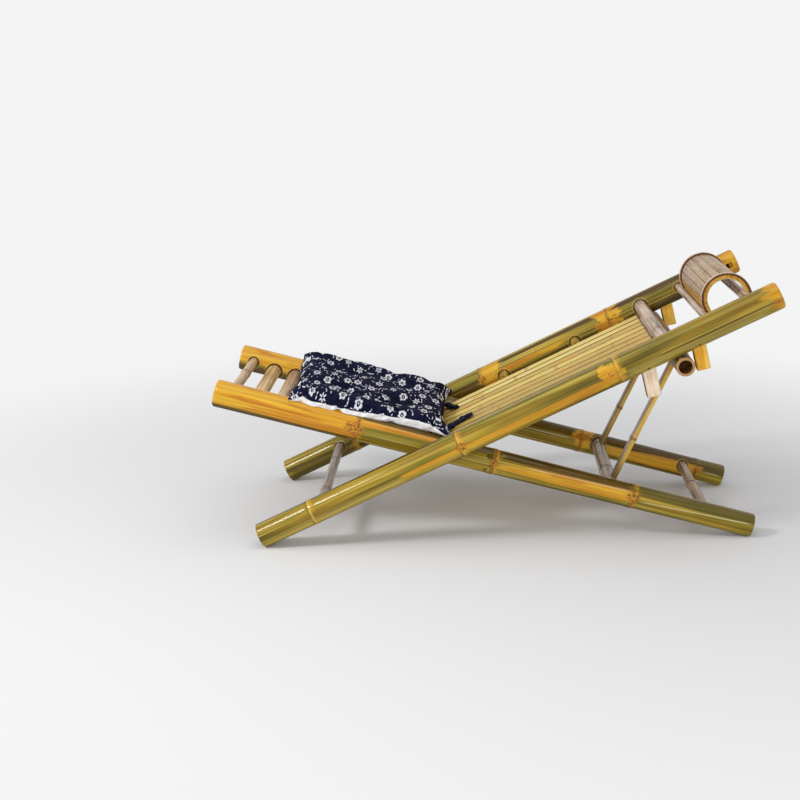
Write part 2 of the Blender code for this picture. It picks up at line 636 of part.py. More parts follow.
# Prop: foot bar turning in the seat rails, two struts, hollow top bar
foot_end = seat_tenon_end(PROP_FOOT_REACH)
prop_foot = rod("prop_foot_bar", prop_frame, 0, 0, PROP_FOOT_RADIUS, foot_end, WEATHERED_ROD)
prop_bearing = rod_socket("prop_bearing", seat_frame, PROP_FOOT_REACH, PROP_FOOT_HEIGHT,
                          PROP_FOOT_RADIUS, foot_end, running=True)
for rail in seat_rails.values():
    cut(rail, prop_bearing)

top_outline = [(PROP_TOP_BORE, PROP_TOP_HALF_LENGTH), (PROP_TOP_RADIUS, PROP_TOP_HALF_LENGTH),
               (PROP_TOP_RADIUS, -PROP_TOP_HALF_LENGTH), (PROP_TOP_BORE, -PROP_TOP_HALF_LENGTH),
               (PROP_TOP_BORE, PROP_TOP_HALF_LENGTH)]
prop_top = turned("prop_top_bar", top_outline, CULM_SIDES, prop_frame, (PROP_LENGTH, 0, 0), ACROSS,
                  OLIVE_CULM)
strut_start = PROP_FOOT_RADIUS - STRUT_TENON
strut_end = PROP_LENGTH - PROP_TOP_RADIUS + STRUT_TENON
strut_pockets = []
for side, sign in SIDES.items():
    low = Vector((strut_start, sign * STRUT_Y - STRUT_WIDTH / 2, -STRUT_THICKNESS / 2))
    high = Vector((strut_end, sign * STRUT_Y + STRUT_WIDTH / 2, STRUT_THICKNESS / 2))
    grow = Vector((SEAT_GAP, SEAT_GAP, SEAT_GAP))
    name = "prop_strut_" + side
    strut = add_object(name, box_mesh(name, [(low, high)]), prop_frame, (0, 0, 0), (0, 0, 0), AMBER_BAMBOO)
    round_edges(strut, STRUT_EDGE_ROUND, 1)
    strut_pockets.append((low - grow, high + grow))
strut_cutter = add_object("strut_pockets", box_mesh("strut_pockets", strut_pockets), prop_frame,
                          (0, 0, 0), (0, 0, 0), None)
cut(prop_foot, strut_cutter)
cut(prop_top, strut_cutter)

# Cushion: a subdivided block shaped into a crowned pad with tufts


def smooth_step(value, low, high):
    """Eases from 0 below low to 1 above high."""
    share = min(max((value - low) / (high - low), 0), 1)
    return share * share * (3 - 2 * share)


def cushion_rest_height(x, y):
    """Underside of the pad: on the rungs and the axle in the middle, over the rails at the sides."""
    rail_top = SEAT_FRONT_RADIUS + NODE_RIDGE + SEAT_GAP
    last_rung = SPLIT_RUNG_REACH + (SPLIT_RUNG_COUNT - 1) * SPLIT_RUNG_PITCH
    rung_top = SPLIT_RUNG_TOP + SEAT_GAP
    rung_top += (AXLE_RADIUS - SPLIT_RUNG_TOP) * smooth_step(x, last_rung, -2 * AXLE_RADIUS)
    rail_edge = SEAT_RAIL_Y - SEAT_FRONT_RADIUS
    share = smooth_step(abs(y), rail_edge - SEAT_FRONT_RADIUS / 2, rail_edge + SEAT_FRONT_RADIUS / 3)
    return rung_top + (rail_top - rung_top) * share


def cushion_thickness(u, v):
    """Thickness of the pad at plan position u, v from -1 to 1, dimpled at the tufts."""
    dome = math.sqrt((1 - u ** 4) * (1 - v ** 4))
    edge = CUSHION_EDGE - (CUSHION_EDGE - CUSHION_CORNER) * u ** 8 * v ** 8
    thickness = edge + (CUSHION_CROWN - CUSHION_EDGE) * dome
    half_length = (CUSHION_REAR - CUSHION_FRONT) / 2
    for row in range(TUFT_COUNT):
        for column in range(TUFT_COUNT):
            tuft_u = TUFT_SHARE * (2 * row / (TUFT_COUNT - 1) - 1)
            tuft_v = TUFT_SHARE * (2 * column / (TUFT_COUNT - 1) - 1)
            away = math.hypot((u - tuft_u) * half_length, (v - tuft_v) * CUSHION_HALF_WIDTH)
            thickness -= TUFT_DEPTH * math.exp(-(away / TUFT_SPREAD) ** 2)
    return thickness


pad = bmesh.new()
bmesh.ops.create_cube(pad, size=2)
for axis, cuts in ((0, CUSHION_CUT_COUNT), (1, CUSHION_CUT_COUNT), (2, CUSHION_SIDE_CUT_COUNT)):
    runs = [edge for edge in pad.edges
            if abs(edge.verts[0].co[axis] - edge.verts[1].co[axis]) > 1]
    bmesh.ops.subdivide_edges(pad, edges=runs, cuts=cuts, use_grid_fill=True)
pad_middle = (CUSHION_FRONT + CUSHION_REAR) / 2
pad_half_length = (CUSHION_REAR - CUSHION_FRONT) / 2
for vertex in pad.verts:
    u, v, w = vertex.co
    along_seat = u * (pad_half_length - CUSHION_DRAW_IN * (1 - v * v) * u ** 4)
    across_seat = v * (CUSHION_HALF_WIDTH - CUSHION_DRAW_IN * (1 - u * u) * v ** 4)
    side_swell = CUSHION_BULGE * (1 - w * w)
    if abs(u) > 0.999:
        along_seat += math.copysign(side_swell, u)
    if abs(v) > 0.999:
        across_seat += math.copysign(side_swell, v)
    along_seat += pad_middle
    height = cushion_rest_height(along_seat, across_seat) + cushion_thickness(u, v) * (w + 1) / 2
    vertex.co = (along_seat, across_seat, height)
pad_mesh = bpy.data.meshes.new("seat_cushion")
pad.to_mesh(pad_mesh)
pad.free()
pad_mesh.shade_smooth()
add_object("seat_cushion", pad_mesh, seat_frame, (0, 0, 0), (0, 0, 0), NAVY_CALICO)

# Ties: short fabric tubes lying on the slats
for side, route in TIE_ROUTES.items():
    tie_name = "cushion_tie_" + side
    tie_curve = bpy.data.curves.new(tie_name, "CURVE")
    tie_curve.dimensions = "3D"
    tie_curve.bevel_depth = TIE_RADIUS
    tie_curve.bevel_resolution = 2
    tie_curve.use_fill_caps = True
    spline = tie_curve.splines.new("POLY")
    spline.points.add(len(route) - 1)
    for point, (reach, y) in zip(spline.points, route):
        point.co = (reach, y, TIE_RADIUS + SEAT_GAP, 1)
    add_object(tie_name, tie_curve, back_frame, (0, 0, 0), (0, 0, 0), NAVY_CALICO)
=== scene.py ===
"""A low folding lounge chair of varnished bamboo with a printed cotton seat cushion."""
import contextlib
import json
import math

import bpy
from mathutils import Matrix, Vector


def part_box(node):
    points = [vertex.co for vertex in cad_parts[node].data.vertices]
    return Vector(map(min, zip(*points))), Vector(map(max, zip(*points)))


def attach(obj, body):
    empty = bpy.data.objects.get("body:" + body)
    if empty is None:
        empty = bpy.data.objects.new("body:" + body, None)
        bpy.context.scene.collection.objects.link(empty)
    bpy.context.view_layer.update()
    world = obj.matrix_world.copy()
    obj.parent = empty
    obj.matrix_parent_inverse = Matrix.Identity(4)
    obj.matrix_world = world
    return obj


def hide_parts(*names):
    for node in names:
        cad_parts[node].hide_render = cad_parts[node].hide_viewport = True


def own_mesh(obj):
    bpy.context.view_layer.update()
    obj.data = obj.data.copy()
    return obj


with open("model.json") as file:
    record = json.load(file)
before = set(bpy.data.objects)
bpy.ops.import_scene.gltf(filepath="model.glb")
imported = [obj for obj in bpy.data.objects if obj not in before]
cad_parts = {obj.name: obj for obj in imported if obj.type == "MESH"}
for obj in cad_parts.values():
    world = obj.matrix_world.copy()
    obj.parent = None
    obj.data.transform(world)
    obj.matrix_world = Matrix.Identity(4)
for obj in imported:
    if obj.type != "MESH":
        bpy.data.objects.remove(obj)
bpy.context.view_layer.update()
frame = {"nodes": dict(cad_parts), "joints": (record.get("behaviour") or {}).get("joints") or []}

# Seat rails: two long moso culms from the seat's front edge down to the rear feet. Their green skin is
# scraped and flamed to amber in places and varnished. Rungs and rods sit in sockets drilled in them.
pivot = Vector(frame["joints"][0]["pos_m"])
seat_tilt = math.radians(14.8)
seat_place = Matrix.Translation(pivot) @ Matrix.Rotation(seat_tilt, 4, "Y")
across_frame = Matrix.Rotation(math.radians(-90), 4, "X")
sides = (("left", -1), ("right", 1))
floor_level = 0
rail_y = 0.20386
rail_foot = -0.77925
rail_head = 0.543
rail_foot_radius = 0.028
rail_head_radius = 0.033
rail_nodes = {"left": (-0.482, -0.142, 0.193), "right": (-0.704, -0.389, -0.060, 0.275)}
node_profile = ((-0.0130, 0), (-0.0060, 0.0002), (-0.0046, -0.0004), (-0.0032, 0.0008), (-0.0014, 0.0013),
                (0.0008, 0.0006), (0.0030, 0.0012), (0.0062, 0.0006), (0.0130, 0))


def pick(*pieces):
    """Selects these pieces alone and makes the first one active."""
    bpy.ops.object.select_all(action="DESELECT")
    for piece in pieces:
        piece.select_set(True)
    bpy.context.view_layer.objects.active = pieces[0]


def set_in_place(piece, place):
    """Moves a piece to its place and puts that place into its mesh."""
    piece.matrix_world = place
    pick(piece)
    bpy.ops.object.transform_apply(location=True, rotation=True, scale=True)


@contextlib.contextmanager
def editing(piece):
    """Edit mode on a piece, with all of it selected."""
    pick(piece)
    bpy.ops.object.mode_set(mode="EDIT")
    bpy.ops.mesh.select_all(action="SELECT")
    yield
    bpy.ops.object.mode_set(mode="OBJECT")


def saw(piece, level):
    """Saws off what is below a level and closes the cut."""
    with editing(piece):
        bpy.ops.mesh.bisect(plane_co=(0, 0, level), plane_no=(0, 0, 1), use_fill=True, clear_inner=True)


def new_object(name, data):
    """Adds an object with this data to the scene."""
    added = bpy.data.objects.new(name, data)
    bpy.context.scene.collection.objects.link(added)
    return added


def drawn_tube(name, corners, rings):
    """Draws a ring out along Z through rows of reach and radius, and closes both ends."""
    bpy.ops.object.select_all(action="DESELECT")
    reach, radius = rings[0]
    bpy.ops.mesh.primitive_circle_add(vertices=corners, radius=radius)
    tube = bpy.context.object
    tube.name = name
    bpy.ops.object.mode_set(mode="EDIT")
    bpy.ops.mesh.select_mode(type="VERT")
    bpy.ops.mesh.select_all(action="SELECT")
    bpy.ops.transform.translate(value=(0, 0, reach))
    for next_reach, next_radius in rings[1:]:
        bpy.ops.mesh.extrude_region_move(TRANSFORM_OT_translate={"value": (0, 0, next_reach - reach)})
        growth = next_radius / radius
        bpy.ops.transform.resize(value=(growth, growth, 1), center_override=(0, 0, next_reach))
        reach, radius = next_reach, next_radius
    bpy.ops.mesh.select_all(action="SELECT")
    bpy.ops.mesh.fill_holes(sides=0)
    bpy.ops.mesh.normals_make_consistent(inside=False)
    bpy.ops.object.mode_set(mode="OBJECT")
    return tube


def skin_rows(start, pitch, steps, nodes, clear, profile):
    """Rows of reach and rise along a stem: evenly spaced, and a node's own rows at each node."""
    spaced = [start + pitch * step for step in range(steps)]
    rows = [(reach, 0) for reach in spaced if all(abs(reach - node) > clear for node in nodes)]
    rows += [(node + along, rise) for node in nodes for along, rise in profile]
    return sorted(rows)


def culm_rings(foot, head, foot_radius, head_radius, nodes):
    """Rings of a culm: along its bore to the cut foot, up its skin over the nodes, round its closed head."""
    wall = 0.0075
    diaphragm = 0.10
    head_round = 0.0065
    slope = (head_radius - foot_radius) / (head - foot)
    pitch = 0.015
    skin = skin_rows(foot + 0.0015, pitch, int((head - foot) / pitch), nodes, 0.016, node_profile)
    rings = [(foot + diaphragm, foot_radius - wall), (foot + 0.001, foot_radius - wall),
             (foot, foot_radius - wall + 0.001), (foot, foot_radius - 0.0012)]
    for reach, rise in skin:
        rings.append((reach, foot_radius + slope * (reach - foot) + rise))
    for step in range(6):
        bend = math.radians(18 * step)
        rings.append((head - head_round * (1 - math.sin(bend)),
                      head_radius - head_round * (1 - math.cos(bend))))
    rings.append((head - 0.0006, (head_radius - head_round) * 0.7))
    rings.append((head - 0.0012, 0.004))
    return rings


def block(name, place, sizes):
    """A box with its middle at a place."""
    bpy.ops.object.select_all(action="DESELECT")
    bpy.ops.mesh.primitive_cube_add(size=1)
    box = bpy.context.object
    box.name = name
    set_in_place(box, place @ Matrix.Diagonal((*sizes, 1)))
    return box


def soften(piece, width, segments, least_bend):
    """Rounds off the edges that bend by more than so many degrees."""
    pick(piece)
    edges = piece.modifiers.new("edges", "BEVEL")
    edges.width = width
    edges.segments = segments
    edges.limit_method = "ANGLE"
    edges.angle_limit = math.radians(least_bend)
    bpy.ops.object.modifier_apply(modifier="edges")


def round_bit(place, reach, height, radius, low_y, high_y):
    """A drill bit across the frame."""
    bpy.ops.object.select_all(action="DESELECT")
    bpy.ops.mesh.primitive_cylinder_add(vertices=48, radius=radius, depth=high_y - low_y)
    bit = bpy.context.object
    set_in_place(bit, place @ Matrix.Translation((reach, (low_y + high_y) / 2, height)) @ across_frame)
    return bit


def half_round(name, radius, thickness, length):
    """A rod along Y split lengthwise, with its crown at Z 0."""
    bpy.ops.object.select_all(action="DESELECT")
    bpy.ops.mesh.primitive_cylinder_add(vertices=56, radius=radius, depth=length)
    rod = bpy.context.object
    rod.name = name
    set_in_place(rod, Matrix.Translation((0, 0, -radius)) @ across_frame)
    saw(rod, -thickness)
    return rod


def drill(culm, bits):
    """Takes all the bits out of a culm in one cut."""
    pick(*bits)
    if len(bits) > 1:
        bpy.ops.object.join()
    cut = culm.modifiers.new("sockets", "BOOLEAN")
    cut.operation = "DIFFERENCE"
    cut.solver = "EXACT"
    cut.object = bits[0]
    pick(culm)
    bpy.ops.object.modifier_apply(modifier="sockets")
    bpy.data.objects.remove(bits[0])


def add_bud(culm, place, reach, axis_y, radius, turn, size, seed):
    """Leaves the rough scar of a cut branch on a node: a flattened ball with a jagged skin.
    A turn of 0 faces the near side and 90 degrees faces up from the frame."""
    bpy.ops.object.select_all(action="DESELECT")
    bpy.ops.mesh.primitive_ico_sphere_add(subdivisions=3, radius=1)
    bud = bpy.context.object
    with editing(bud):
        bpy.ops.transform.vertex_random(offset=0.16, seed=seed)
    outwards = Vector((0, -math.cos(turn), math.sin(turn)))
    sideways = outwards.cross(Vector((1, 0, 0)))
    stand = Matrix((Vector((1, 0, 0)), sideways, outwards)).transposed().to_4x4()
    spot = Matrix.Translation(Vector((reach, axis_y, 0)) + outwards * radius)
    set_in_place(bud, place @ spot @ stand @ Matrix.Diagonal((size, size * 0.8, size * 0.32, 1)))
    pick(culm, bud)
    bpy.ops.object.join()


class Shade:
    """One socket of a finish. Arithmetic on values adds Math nodes to that finish."""

    def __init__(self, tree, socket):
        self.tree = tree
        self.socket = socket

    def node(self, kind, settings, sockets, output=0):
        """Adds a node: its settings first, then the values or links of its sockets."""
        added = self.tree.nodes.new(kind)
        for key, value in settings.items():
            if key == "stops":
                stops = added.color_ramp.elements
                while len(stops) < len(value):
                    stops.new(1)
                for stop, (position, colour) in zip(stops, value):
                    stop.position = position
                    stop.color = (*colour, 1)
            else:
                setattr(added, key, value)
        for key, value in sockets.items():
            if isinstance(value, Shade):
                self.tree.links.new(value.socket, added.inputs[key])
            else:
                added.inputs[key].default_value = value
        return Shade(self.tree, added.outputs[output])

    def math(self, operation, *others):
        """A sum on this value, with others as its further operands."""
        return self.node("ShaderNodeMath", {"operation": operation}, dict(enumerate((self, *others))))

    def __add__(self, other):
        return self.math("ADD", other)

    __radd__ = __add__

    def __sub__(self, other):
        return self.math("SUBTRACT", other)

    def __rsub__(self, other):
        return self * -1 + other

    def __mul__(self, other):
        return self.math("MULTIPLY", other)

    __rmul__ = __mul__

    def __truediv__(self, other):
        return self.math("DIVIDE", other)

    def __abs__(self):
        return self.math("ABSOLUTE")

    def lowest(self, other):
        return self.math("MINIMUM", other)

    def highest(self, other):
        return self.math("MAXIMUM", other)

    def distance(self, other):
        """Distance from a point that lies this far off along one axis and other far along the next."""
        return (self * self + other * other).math("SQRT")

    def eased(self, low, high):
        """0 at low, 1 at high."""
        return self.node("ShaderNodeMapRange", {"interpolation_type": "SMOOTHSTEP"},
                         {"Value": self, "From Min": low, "From Max": high})

    def ramp(self, stops):
        return self.node("ShaderNodeValToRGB", {"stops": stops}, {"Fac": self})

    def between(self, low, high):
        """Colour low where this mask is 0, colour high where it is 1."""
        ends = [(*end, 1) if isinstance(end, tuple) else end for end in (low, high)]
        return self.node("ShaderNodeMix", {"data_type": "RGBA"}, {0: self, 6: ends[0], 7: ends[1]}, 2)

    def stretched(self, x, y, z, shift=0):
        return self.node("ShaderNodeVectorMath", {"operation": "MULTIPLY_ADD"},
                         {0: self, 1: (x, y, z), 2: (shift, shift, shift)})

    def noise(self, x, y, z, shift=0, detail=2):
        """Noise with so many cells a metre along each axis."""
        return self.node("ShaderNodeTexNoise", {}, {"Vector": self.stretched(x, y, z, shift), "Scale": 1,
                                                    "Detail": detail})

    def axis(self, index):
        return self.node("ShaderNodeSeparateXYZ", {}, {0: self}, index)

    def bump(self, depth, strength=1):
        return self.node("ShaderNodeBump", {}, {"Height": self, "Distance": depth, "Strength": strength})

    def feed(self, shader, socket):
        self.tree.links.new(self.socket, shader.inputs[socket])


def new_finish(name):
    """A material, its shader and its Object coordinates."""
    finish = bpy.data.materials.new(name)
    finish.use_nodes = True
    shader = finish.node_tree.nodes["Principled BSDF"]
    shader.inputs["Specular IOR Level"].default_value = 0.2
    place = Shade(finish.node_tree, None).node("ShaderNodeTexCoord", {}, {}, "Object")
    return finish, shader, place


def lay_on(shader, sockets):
    """Links or sets the shader's sockets."""
    for socket, value in sockets.items():
        if isinstance(value, Shade):
            value.feed(shader, socket)
        else:
            shader.inputs[socket].default_value = value


def turned_to_frame(place, tilt, origin=pivot):
    """Coordinates along, across and up from a sloping frame, from its axle or another origin."""
    return place.node("ShaderNodeMapping", {"vector_type": "TEXTURE"},
                      {"Vector": place, "Location": origin, "Rotation": (0, tilt, 0)})


def strongest(masks):
    """The highest of several masks."""
    best = masks[0]
    for mask in masks[1:]:
        best = best.highest(mask)
    return best


def culm_skin(name, tilt, axis_y, radius, slope, nodes, ends, zones, scars, sockets, seed):
    """Varnished bamboo skin: streaky olive, with zones that were scraped, browned, scorched or bleached,
    painted shade (the darker zones, and the browned zones on undersides and in the cushion's shadow),
    painted highlight lines, nodes and bud scars. A zone gives start and end along the culm, its middle turn
    and half turn in degrees, and a taper.
    A furrow gives start, end and turn; a painted highlight line start, end, first and last turn."""
    finish, shader, place = new_finish(name)
    local = turned_to_frame(place, tilt)
    along = local.axis(0)
    across = local.axis(1) - axis_y
    up = local.axis(2)
    turn = up.math("ARCTAN2", across * -1)
    rise = across.distance(up) - along * slope - radius
    fine = local.noise(7, 520, 520, seed)
    streak = local.noise(2.2, 95, 95, seed, detail=3)
    line = local.noise(1.7, 250, 250, seed + 2)
    cloud = local.noise(5, 16, 16, seed)
    drift = local.noise(3.2, 42, 42, seed + 5)
    blotch = local.noise(38, 48, 48, seed + 9)
    speckle = local.noise(150, 260, 260, seed, detail=3)
    ragged = (streak - 0.5) * 0.030 + (fine - 0.5) * 0.008 + (cloud - 0.5) * 0.012
    blotched = (blotch - 0.5) * 0.065 + (streak - 0.5) * 0.012

    def around_from(degrees):
        """Distance round the skin from a turn."""
        turned = turn - math.radians(degrees)
        return turned.math("WRAP", math.pi, -math.pi) * radius

    def zone_mask(kind):
        """1 inside any of the zones, with a soft edge that frays along the fibres."""
        masks = []
        for start, end, middle, half, taper in zones.get(kind, ((2, 2, 0, 0, 0),)):
            from_middle = along - (start + end) / 2
            lengthwise = abs(from_middle) - (end - start) / 2
            sideways = abs(around_from(middle)) - math.radians(half) * radius - from_middle * taper
            short_patch = end - start < 0.07
            outline = (lengthwise * (0.7 if short_patch else 0.3)).highest(sideways)
            masks.append((outline + (blotched if short_patch else ragged)).eased(0.0032, -0.0032))
        return strongest(masks)

    tone = streak * 0.55 + cloud * 0.25 + drift * 0.2
    green = tone.ramp([(0.33, (0.055, 0.040, 0.002)), (0.45, (0.150, 0.114, 0.006)),
                       (0.56, (0.265, 0.208, 0.014)), (0.70, (0.460, 0.370, 0.070))])
    gold = tone.ramp([(0.33, (0.105, 0.055, 0.003)), (0.45, (0.235, 0.146, 0.008)),
                      (0.56, (0.380, 0.255, 0.018)), (0.70, (0.560, 0.405, 0.065))])
    colour = drift.eased(0.42, 0.58).between(green, gold)
    amber = (streak * 0.45 + fine * 0.25 + cloud * 0.3).ramp([(0.32, (0.440, 0.165, 0.005)),
                                                             (0.45, (0.615, 0.300, 0.012)),
                                                             (0.57, (0.715, 0.400, 0.024)),
                                                             (0.70, (0.810, 0.530, 0.075))])
    scorch = local.noise(9, 60, 60, seed + 8, detail=3).eased(0.50, 0.66) * 0.75
    amber = scorch.between(amber, (0.500, 0.160, 0.005))
    brown = (streak * 0.5 + fine * 0.5).ramp([(0.38, (0.026, 0.012, 0.001)), (0.62, (0.140, 0.072, 0.008))])
    scraped = zone_mask("scraped")
    colour = (line.eased(0.42, 0.32) * 0.5).between(colour, (0.600, 0.470, 0.120))
    colour = (zone_mask("paled") * 0.6).between(colour, tone.ramp([(0.36, (0.300, 0.215, 0.030)),
                                                                  (0.64, (0.620, 0.490, 0.120))]))
    # Brown zones: partly real brown skin, partly painted shade on undersides and where the cushion shades
    # the near rail.
    colour = (zone_mask("brown_and_shade") * 0.9).between(colour, brown)
    # Painted shade: darker olive on a culm's shaded side, on the rear rails under the slats and on the far
    # pole's underside.
    colour = (zone_mask("painted_shade") * 0.8).between(colour, tone.ramp([(0.36, (0.045, 0.033, 0.003)),
                                                                     (0.64, (0.150, 0.112, 0.012))]))
    colour = scraped.between(colour, amber)
    scorched = fine.ramp([(0.40, (0.440, 0.135, 0.005)), (0.60, (0.700, 0.290, 0.014))])
    colour = (zone_mask("scorched") * 0.8).between(colour, scorched)
    colour = (line.eased(0.56, 0.68) * (0.55 - scraped * 0.3)).between(colour, (0.100, 0.060, 0.004))
    from_nodes = [along - node + ragged * 0.05 for node in nodes]
    halo = strongest([abs(gap - 0.003).eased(0.011, 0.003) for gap in from_nodes])
    colour = (halo * cloud.eased(0.40, 0.58) * 0.6).between(colour, amber)
    ridge = strongest([abs(gap).eased(0.0036, 0.0014) for gap in from_nodes])
    ring_tint = zones.get("ring", (0.640, 0.420, 0.085))
    colour = (ridge * (0.3 + drift.eased(0.40, 0.58) * 0.4)).between(colour, ring_tint)
    groove = strongest([abs(gap + 0.0050).eased(0.0018, 0.0004) for gap in from_nodes])
    colour = (groove * streak.eased(0.44, 0.56) * 0.85).between(colour, (0.055, 0.022, 0.003))
    colour = (fine.eased(0.58, 0.76) * 0.34).between(colour, (0.120, 0.070, 0.006))
    for start, end, middle in zones.get("furrow", ()):
        off_line = around_from(middle)
        length = along.eased(start, start + 0.02) * along.eased(end, end - 0.004)
        colour = (abs(off_line).eased(0.0024, 0.0006) * length * 0.75).between(colour, (0.075, 0.042, 0.003))
        lip = abs(off_line - 0.0032).eased(0.0018, 0.0006) * length * 0.5
        colour = lip.between(colour, (0.60, 0.42, 0.09))
    # Painted highlights: thin pale lines along the culms that stand for the reflection of a strip light.
    for start, end, first_turn, last_turn in zones.get("painted_glint", ()):
        slant = math.radians(last_turn - first_turn) * radius / (end - start)
        off_line = around_from(first_turn) - (along - start) * slant + (cloud - 0.5) * 0.003
        length = along.eased(start, start + 0.03) * along.eased(end, end - 0.02)
        glint = abs(off_line).eased(0.0019, 0.0005) * length * streak.eased(0.34, 0.56) * 0.7
        colour = glint.between(colour, (0.720, 0.640, 0.400))
    patches = []
    for reach, spot_turn, size in scars:
        off_along = (along - reach) / (size * 1.8)
        off_turn = around_from(spot_turn) / (size * 1.4)
        patches.append(1 - off_along * off_along - off_turn * off_turn + (speckle - 0.5) * 2)
    scar = strongest(patches)
    colour = (scar.eased(-0.6, 0.4) * 0.75).between(colour, (0.480, 0.190, 0.012))
    pits = scar.eased(-0.2, 0.5) * speckle.eased(0.49, 0.60) * 0.75
    colour = pits.between(colour, (0.110, 0.030, 0.005))
    colour = (scar.eased(-0.2, 0.5) * speckle.eased(0.44, 0.34) * 0.5).between(colour, (0.740, 0.480, 0.080))
    depths = [bore - (along - reach).distance(up - height) for reach, height, bore in sockets]
    off_socket = strongest(depths) * -1
    inner_side = (across * math.copysign(1, -axis_y)).eased(0.004, 0.012)
    socket_lip = abs(off_socket - 0.0042).eased(0.0024, 0.0008) * inner_side * 0.25
    colour = socket_lip.between(colour, (0.60, 0.43, 0.11))
    # Painted shade: a dark ring just inside each socket's mouth on the culm's inner side, where the gap
    # round the rod lies in shadow.
    colour = (off_socket.eased(0.0026, 0.0012) * inner_side * 0.85).between(colour, (0.070, 0.028, 0.006))
    cut_low, cut_high = ends
    inside = rise.eased(-0.0030, -0.0045) * along.eased(cut_high, cut_high - 0.002)
    inside = inside * along.eased(cut_low, cut_low + 0.002)
    colour = inside.between(colour, (0.055, 0.022, 0.006))
    lit_side = (up / radius).eased(-0.95, -0.30) * 0.9 + 0.1
    relief = fine * 0.6 + streak * 0.4 + scar.eased(0, 0.6) * speckle * 3
    lay_on(shader, {"Base Color": colour, "Roughness": 0.40 + fine * 0.14 + inside * 0.4,
                    "Coat Weight": lit_side * (0.40 - inside * 0.40), "Coat Roughness": 0.08,
                    "Specular IOR Level": 0.12, "Normal": relief.bump(0.0005, 0.4)})
    return finish


def hand_over(piece, finish, body, node):
    """Gives a finished piece its finish, its body and the CAD node that it stands for."""
    piece.data.materials.clear()
    piece.data.materials.append(finish)
    pick(piece)
    bpy.ops.object.shade_smooth_by_angle(angle=math.radians(38))
    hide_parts(node)
    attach(piece, body)


rung_reaches = [-0.446 + 0.0575 * index for index in range(6)]
rail_rods = ((-0.505, 0.001, 0.0135), (0.666, 0.005, 0.0138), (0.434, 0.005, 0.0180))
# In these zone tables the brown zones are partly painted shade, the darker zones are painted shade and the
# thin pale lines are painted highlights.
rail_zones = {
    "left": {"scraped": ((-0.60, -0.188, 80, 112, 0), (0.150, 0.482, 6, 22, 0.01),
                         (-0.21, 0.04, 44, 12, -0.02)),
             "brown_and_shade": ((-0.60, -0.20, -68, 34, 0), (-0.200, 0.140, 74, 30, 0), (0.16, 0.478, 62, 26, 0),
                         (0.490, 0.80, 66, 16, 0), (-0.19, 0.80, -84, 22, 0), (0.126, 0.152, 26, 56, 0)),
             "painted_shade": ((0.490, 0.80, 64, 44, 0),),
             "scorched": ((-0.47, -0.196, -10, 19, 0), (-0.21, 0.02, 40, 6, 0)),
             "painted_glint": ((0.495, 0.775, -4, 20), (0.21, 0.476, 23, 31)),
             "ring": (0.170, 0.050, 0.010)},
    "right": {"scraped": ((-0.60, -0.277, 105, 116, 0), (0.366, 0.410, 40, 60, 0),
                          (0.44, 0.702, -2, 26, 0)),
              "brown_and_shade": ((-0.60, -0.28, -58, 42, 0), (0.02, 0.700, 66, 42, 0), (0.44, 0.70, -44, 10, 0),
                          (0.44, 0.69, 6, 4, 0)),
              "painted_shade": ((0.706, 0.80, 62, 46, 0),),
              "painted_glint": ((0.12, 0.36, 12, 12), (0.712, 0.775, 8, 8)),
              "ring": (0.170, 0.050, 0.010)},
}
rail_buds = {"left": ((-0.193, 6, 0.0085), (0.142, 8, 0.0060), (0.482, 6, 0.0085)),
             "right": ((0.389, 35, 0.0085), (-0.365, 20, 0.0030), (0.704, 8, 0.0060))}
rail_scars = {"left": rail_buds["left"] + ((-0.203, 12, 0.0110),), "right": rail_buds["right"]}
rail_bud_rise = 0.0305
rail_ends = (-0.530, 0.7792)
rail_seeds = {"left": 3, "right": 11}
axle_bore = 0.0162
rung_height = 0.007
rung_radius = 0.019
rung_mortise_gap = 0.0015
rung_mortise_depth = 0.0185
rail_sockets = list(rail_rods) + [(reach, -0.0105, 0.0205) for reach in rung_reaches[:2]]
for side, facing in sides:
    rail_axis = Matrix.Translation((0, facing * rail_y, 0)) @ Matrix.Rotation(math.radians(-90), 4, "Y")
    rail = drawn_tube("seat_culm_" + side, 72,
                      culm_rings(rail_foot, rail_head, rail_foot_radius, rail_head_radius, rail_nodes[side]))
    set_in_place(rail, seat_place @ rail_axis)
    mouth = rail_y - rail_head_radius - 0.010
    floor_of_socket = rail_y - 0.012
    low_y, high_y = sorted((facing * mouth, facing * floor_of_socket))
    bits = [round_bit(seat_place, reach, height, radius, low_y, high_y)
            for reach, height, radius in rail_rods]
    through_low, through_high = sorted((facing * mouth, facing * (rail_y + 0.05)))
    bits.append(round_bit(seat_place, 0, 0, axle_bore, through_low, through_high))
    for reach in rung_reaches:
        bit = half_round("rung_bit", rung_radius + rung_mortise_gap, rung_mortise_depth, high_y - low_y)
        socket_middle = Vector((reach, (low_y + high_y) / 2, rung_height + 2 * rung_mortise_gap))
        set_in_place(bit, seat_place @ Matrix.Translation(socket_middle))
        bits.append(bit)
    drill(rail, bits)
    saw(rail, floor_level)
    for index, (reach, turn, size) in enumerate(rail_buds[side]):
        add_bud(rail, seat_place, reach, facing * rail_y, rail_bud_rise, math.radians(turn), size, index)
    rail_slope = (rail_head_radius - rail_foot_radius) / (rail_foot - rail_head)
    skin = culm_skin("seat_skin_" + side, seat_tilt, facing * rail_y,
                     rail_foot_radius + rail_slope * rail_foot, rail_slope,
                     [-node for node in rail_nodes[side]], rail_ends, rail_zones[side],
                     rail_scars[side], rail_sockets, rail_seeds[side])
    hand_over(rail, skin, "seat_frame", "seat_rail_" + side)

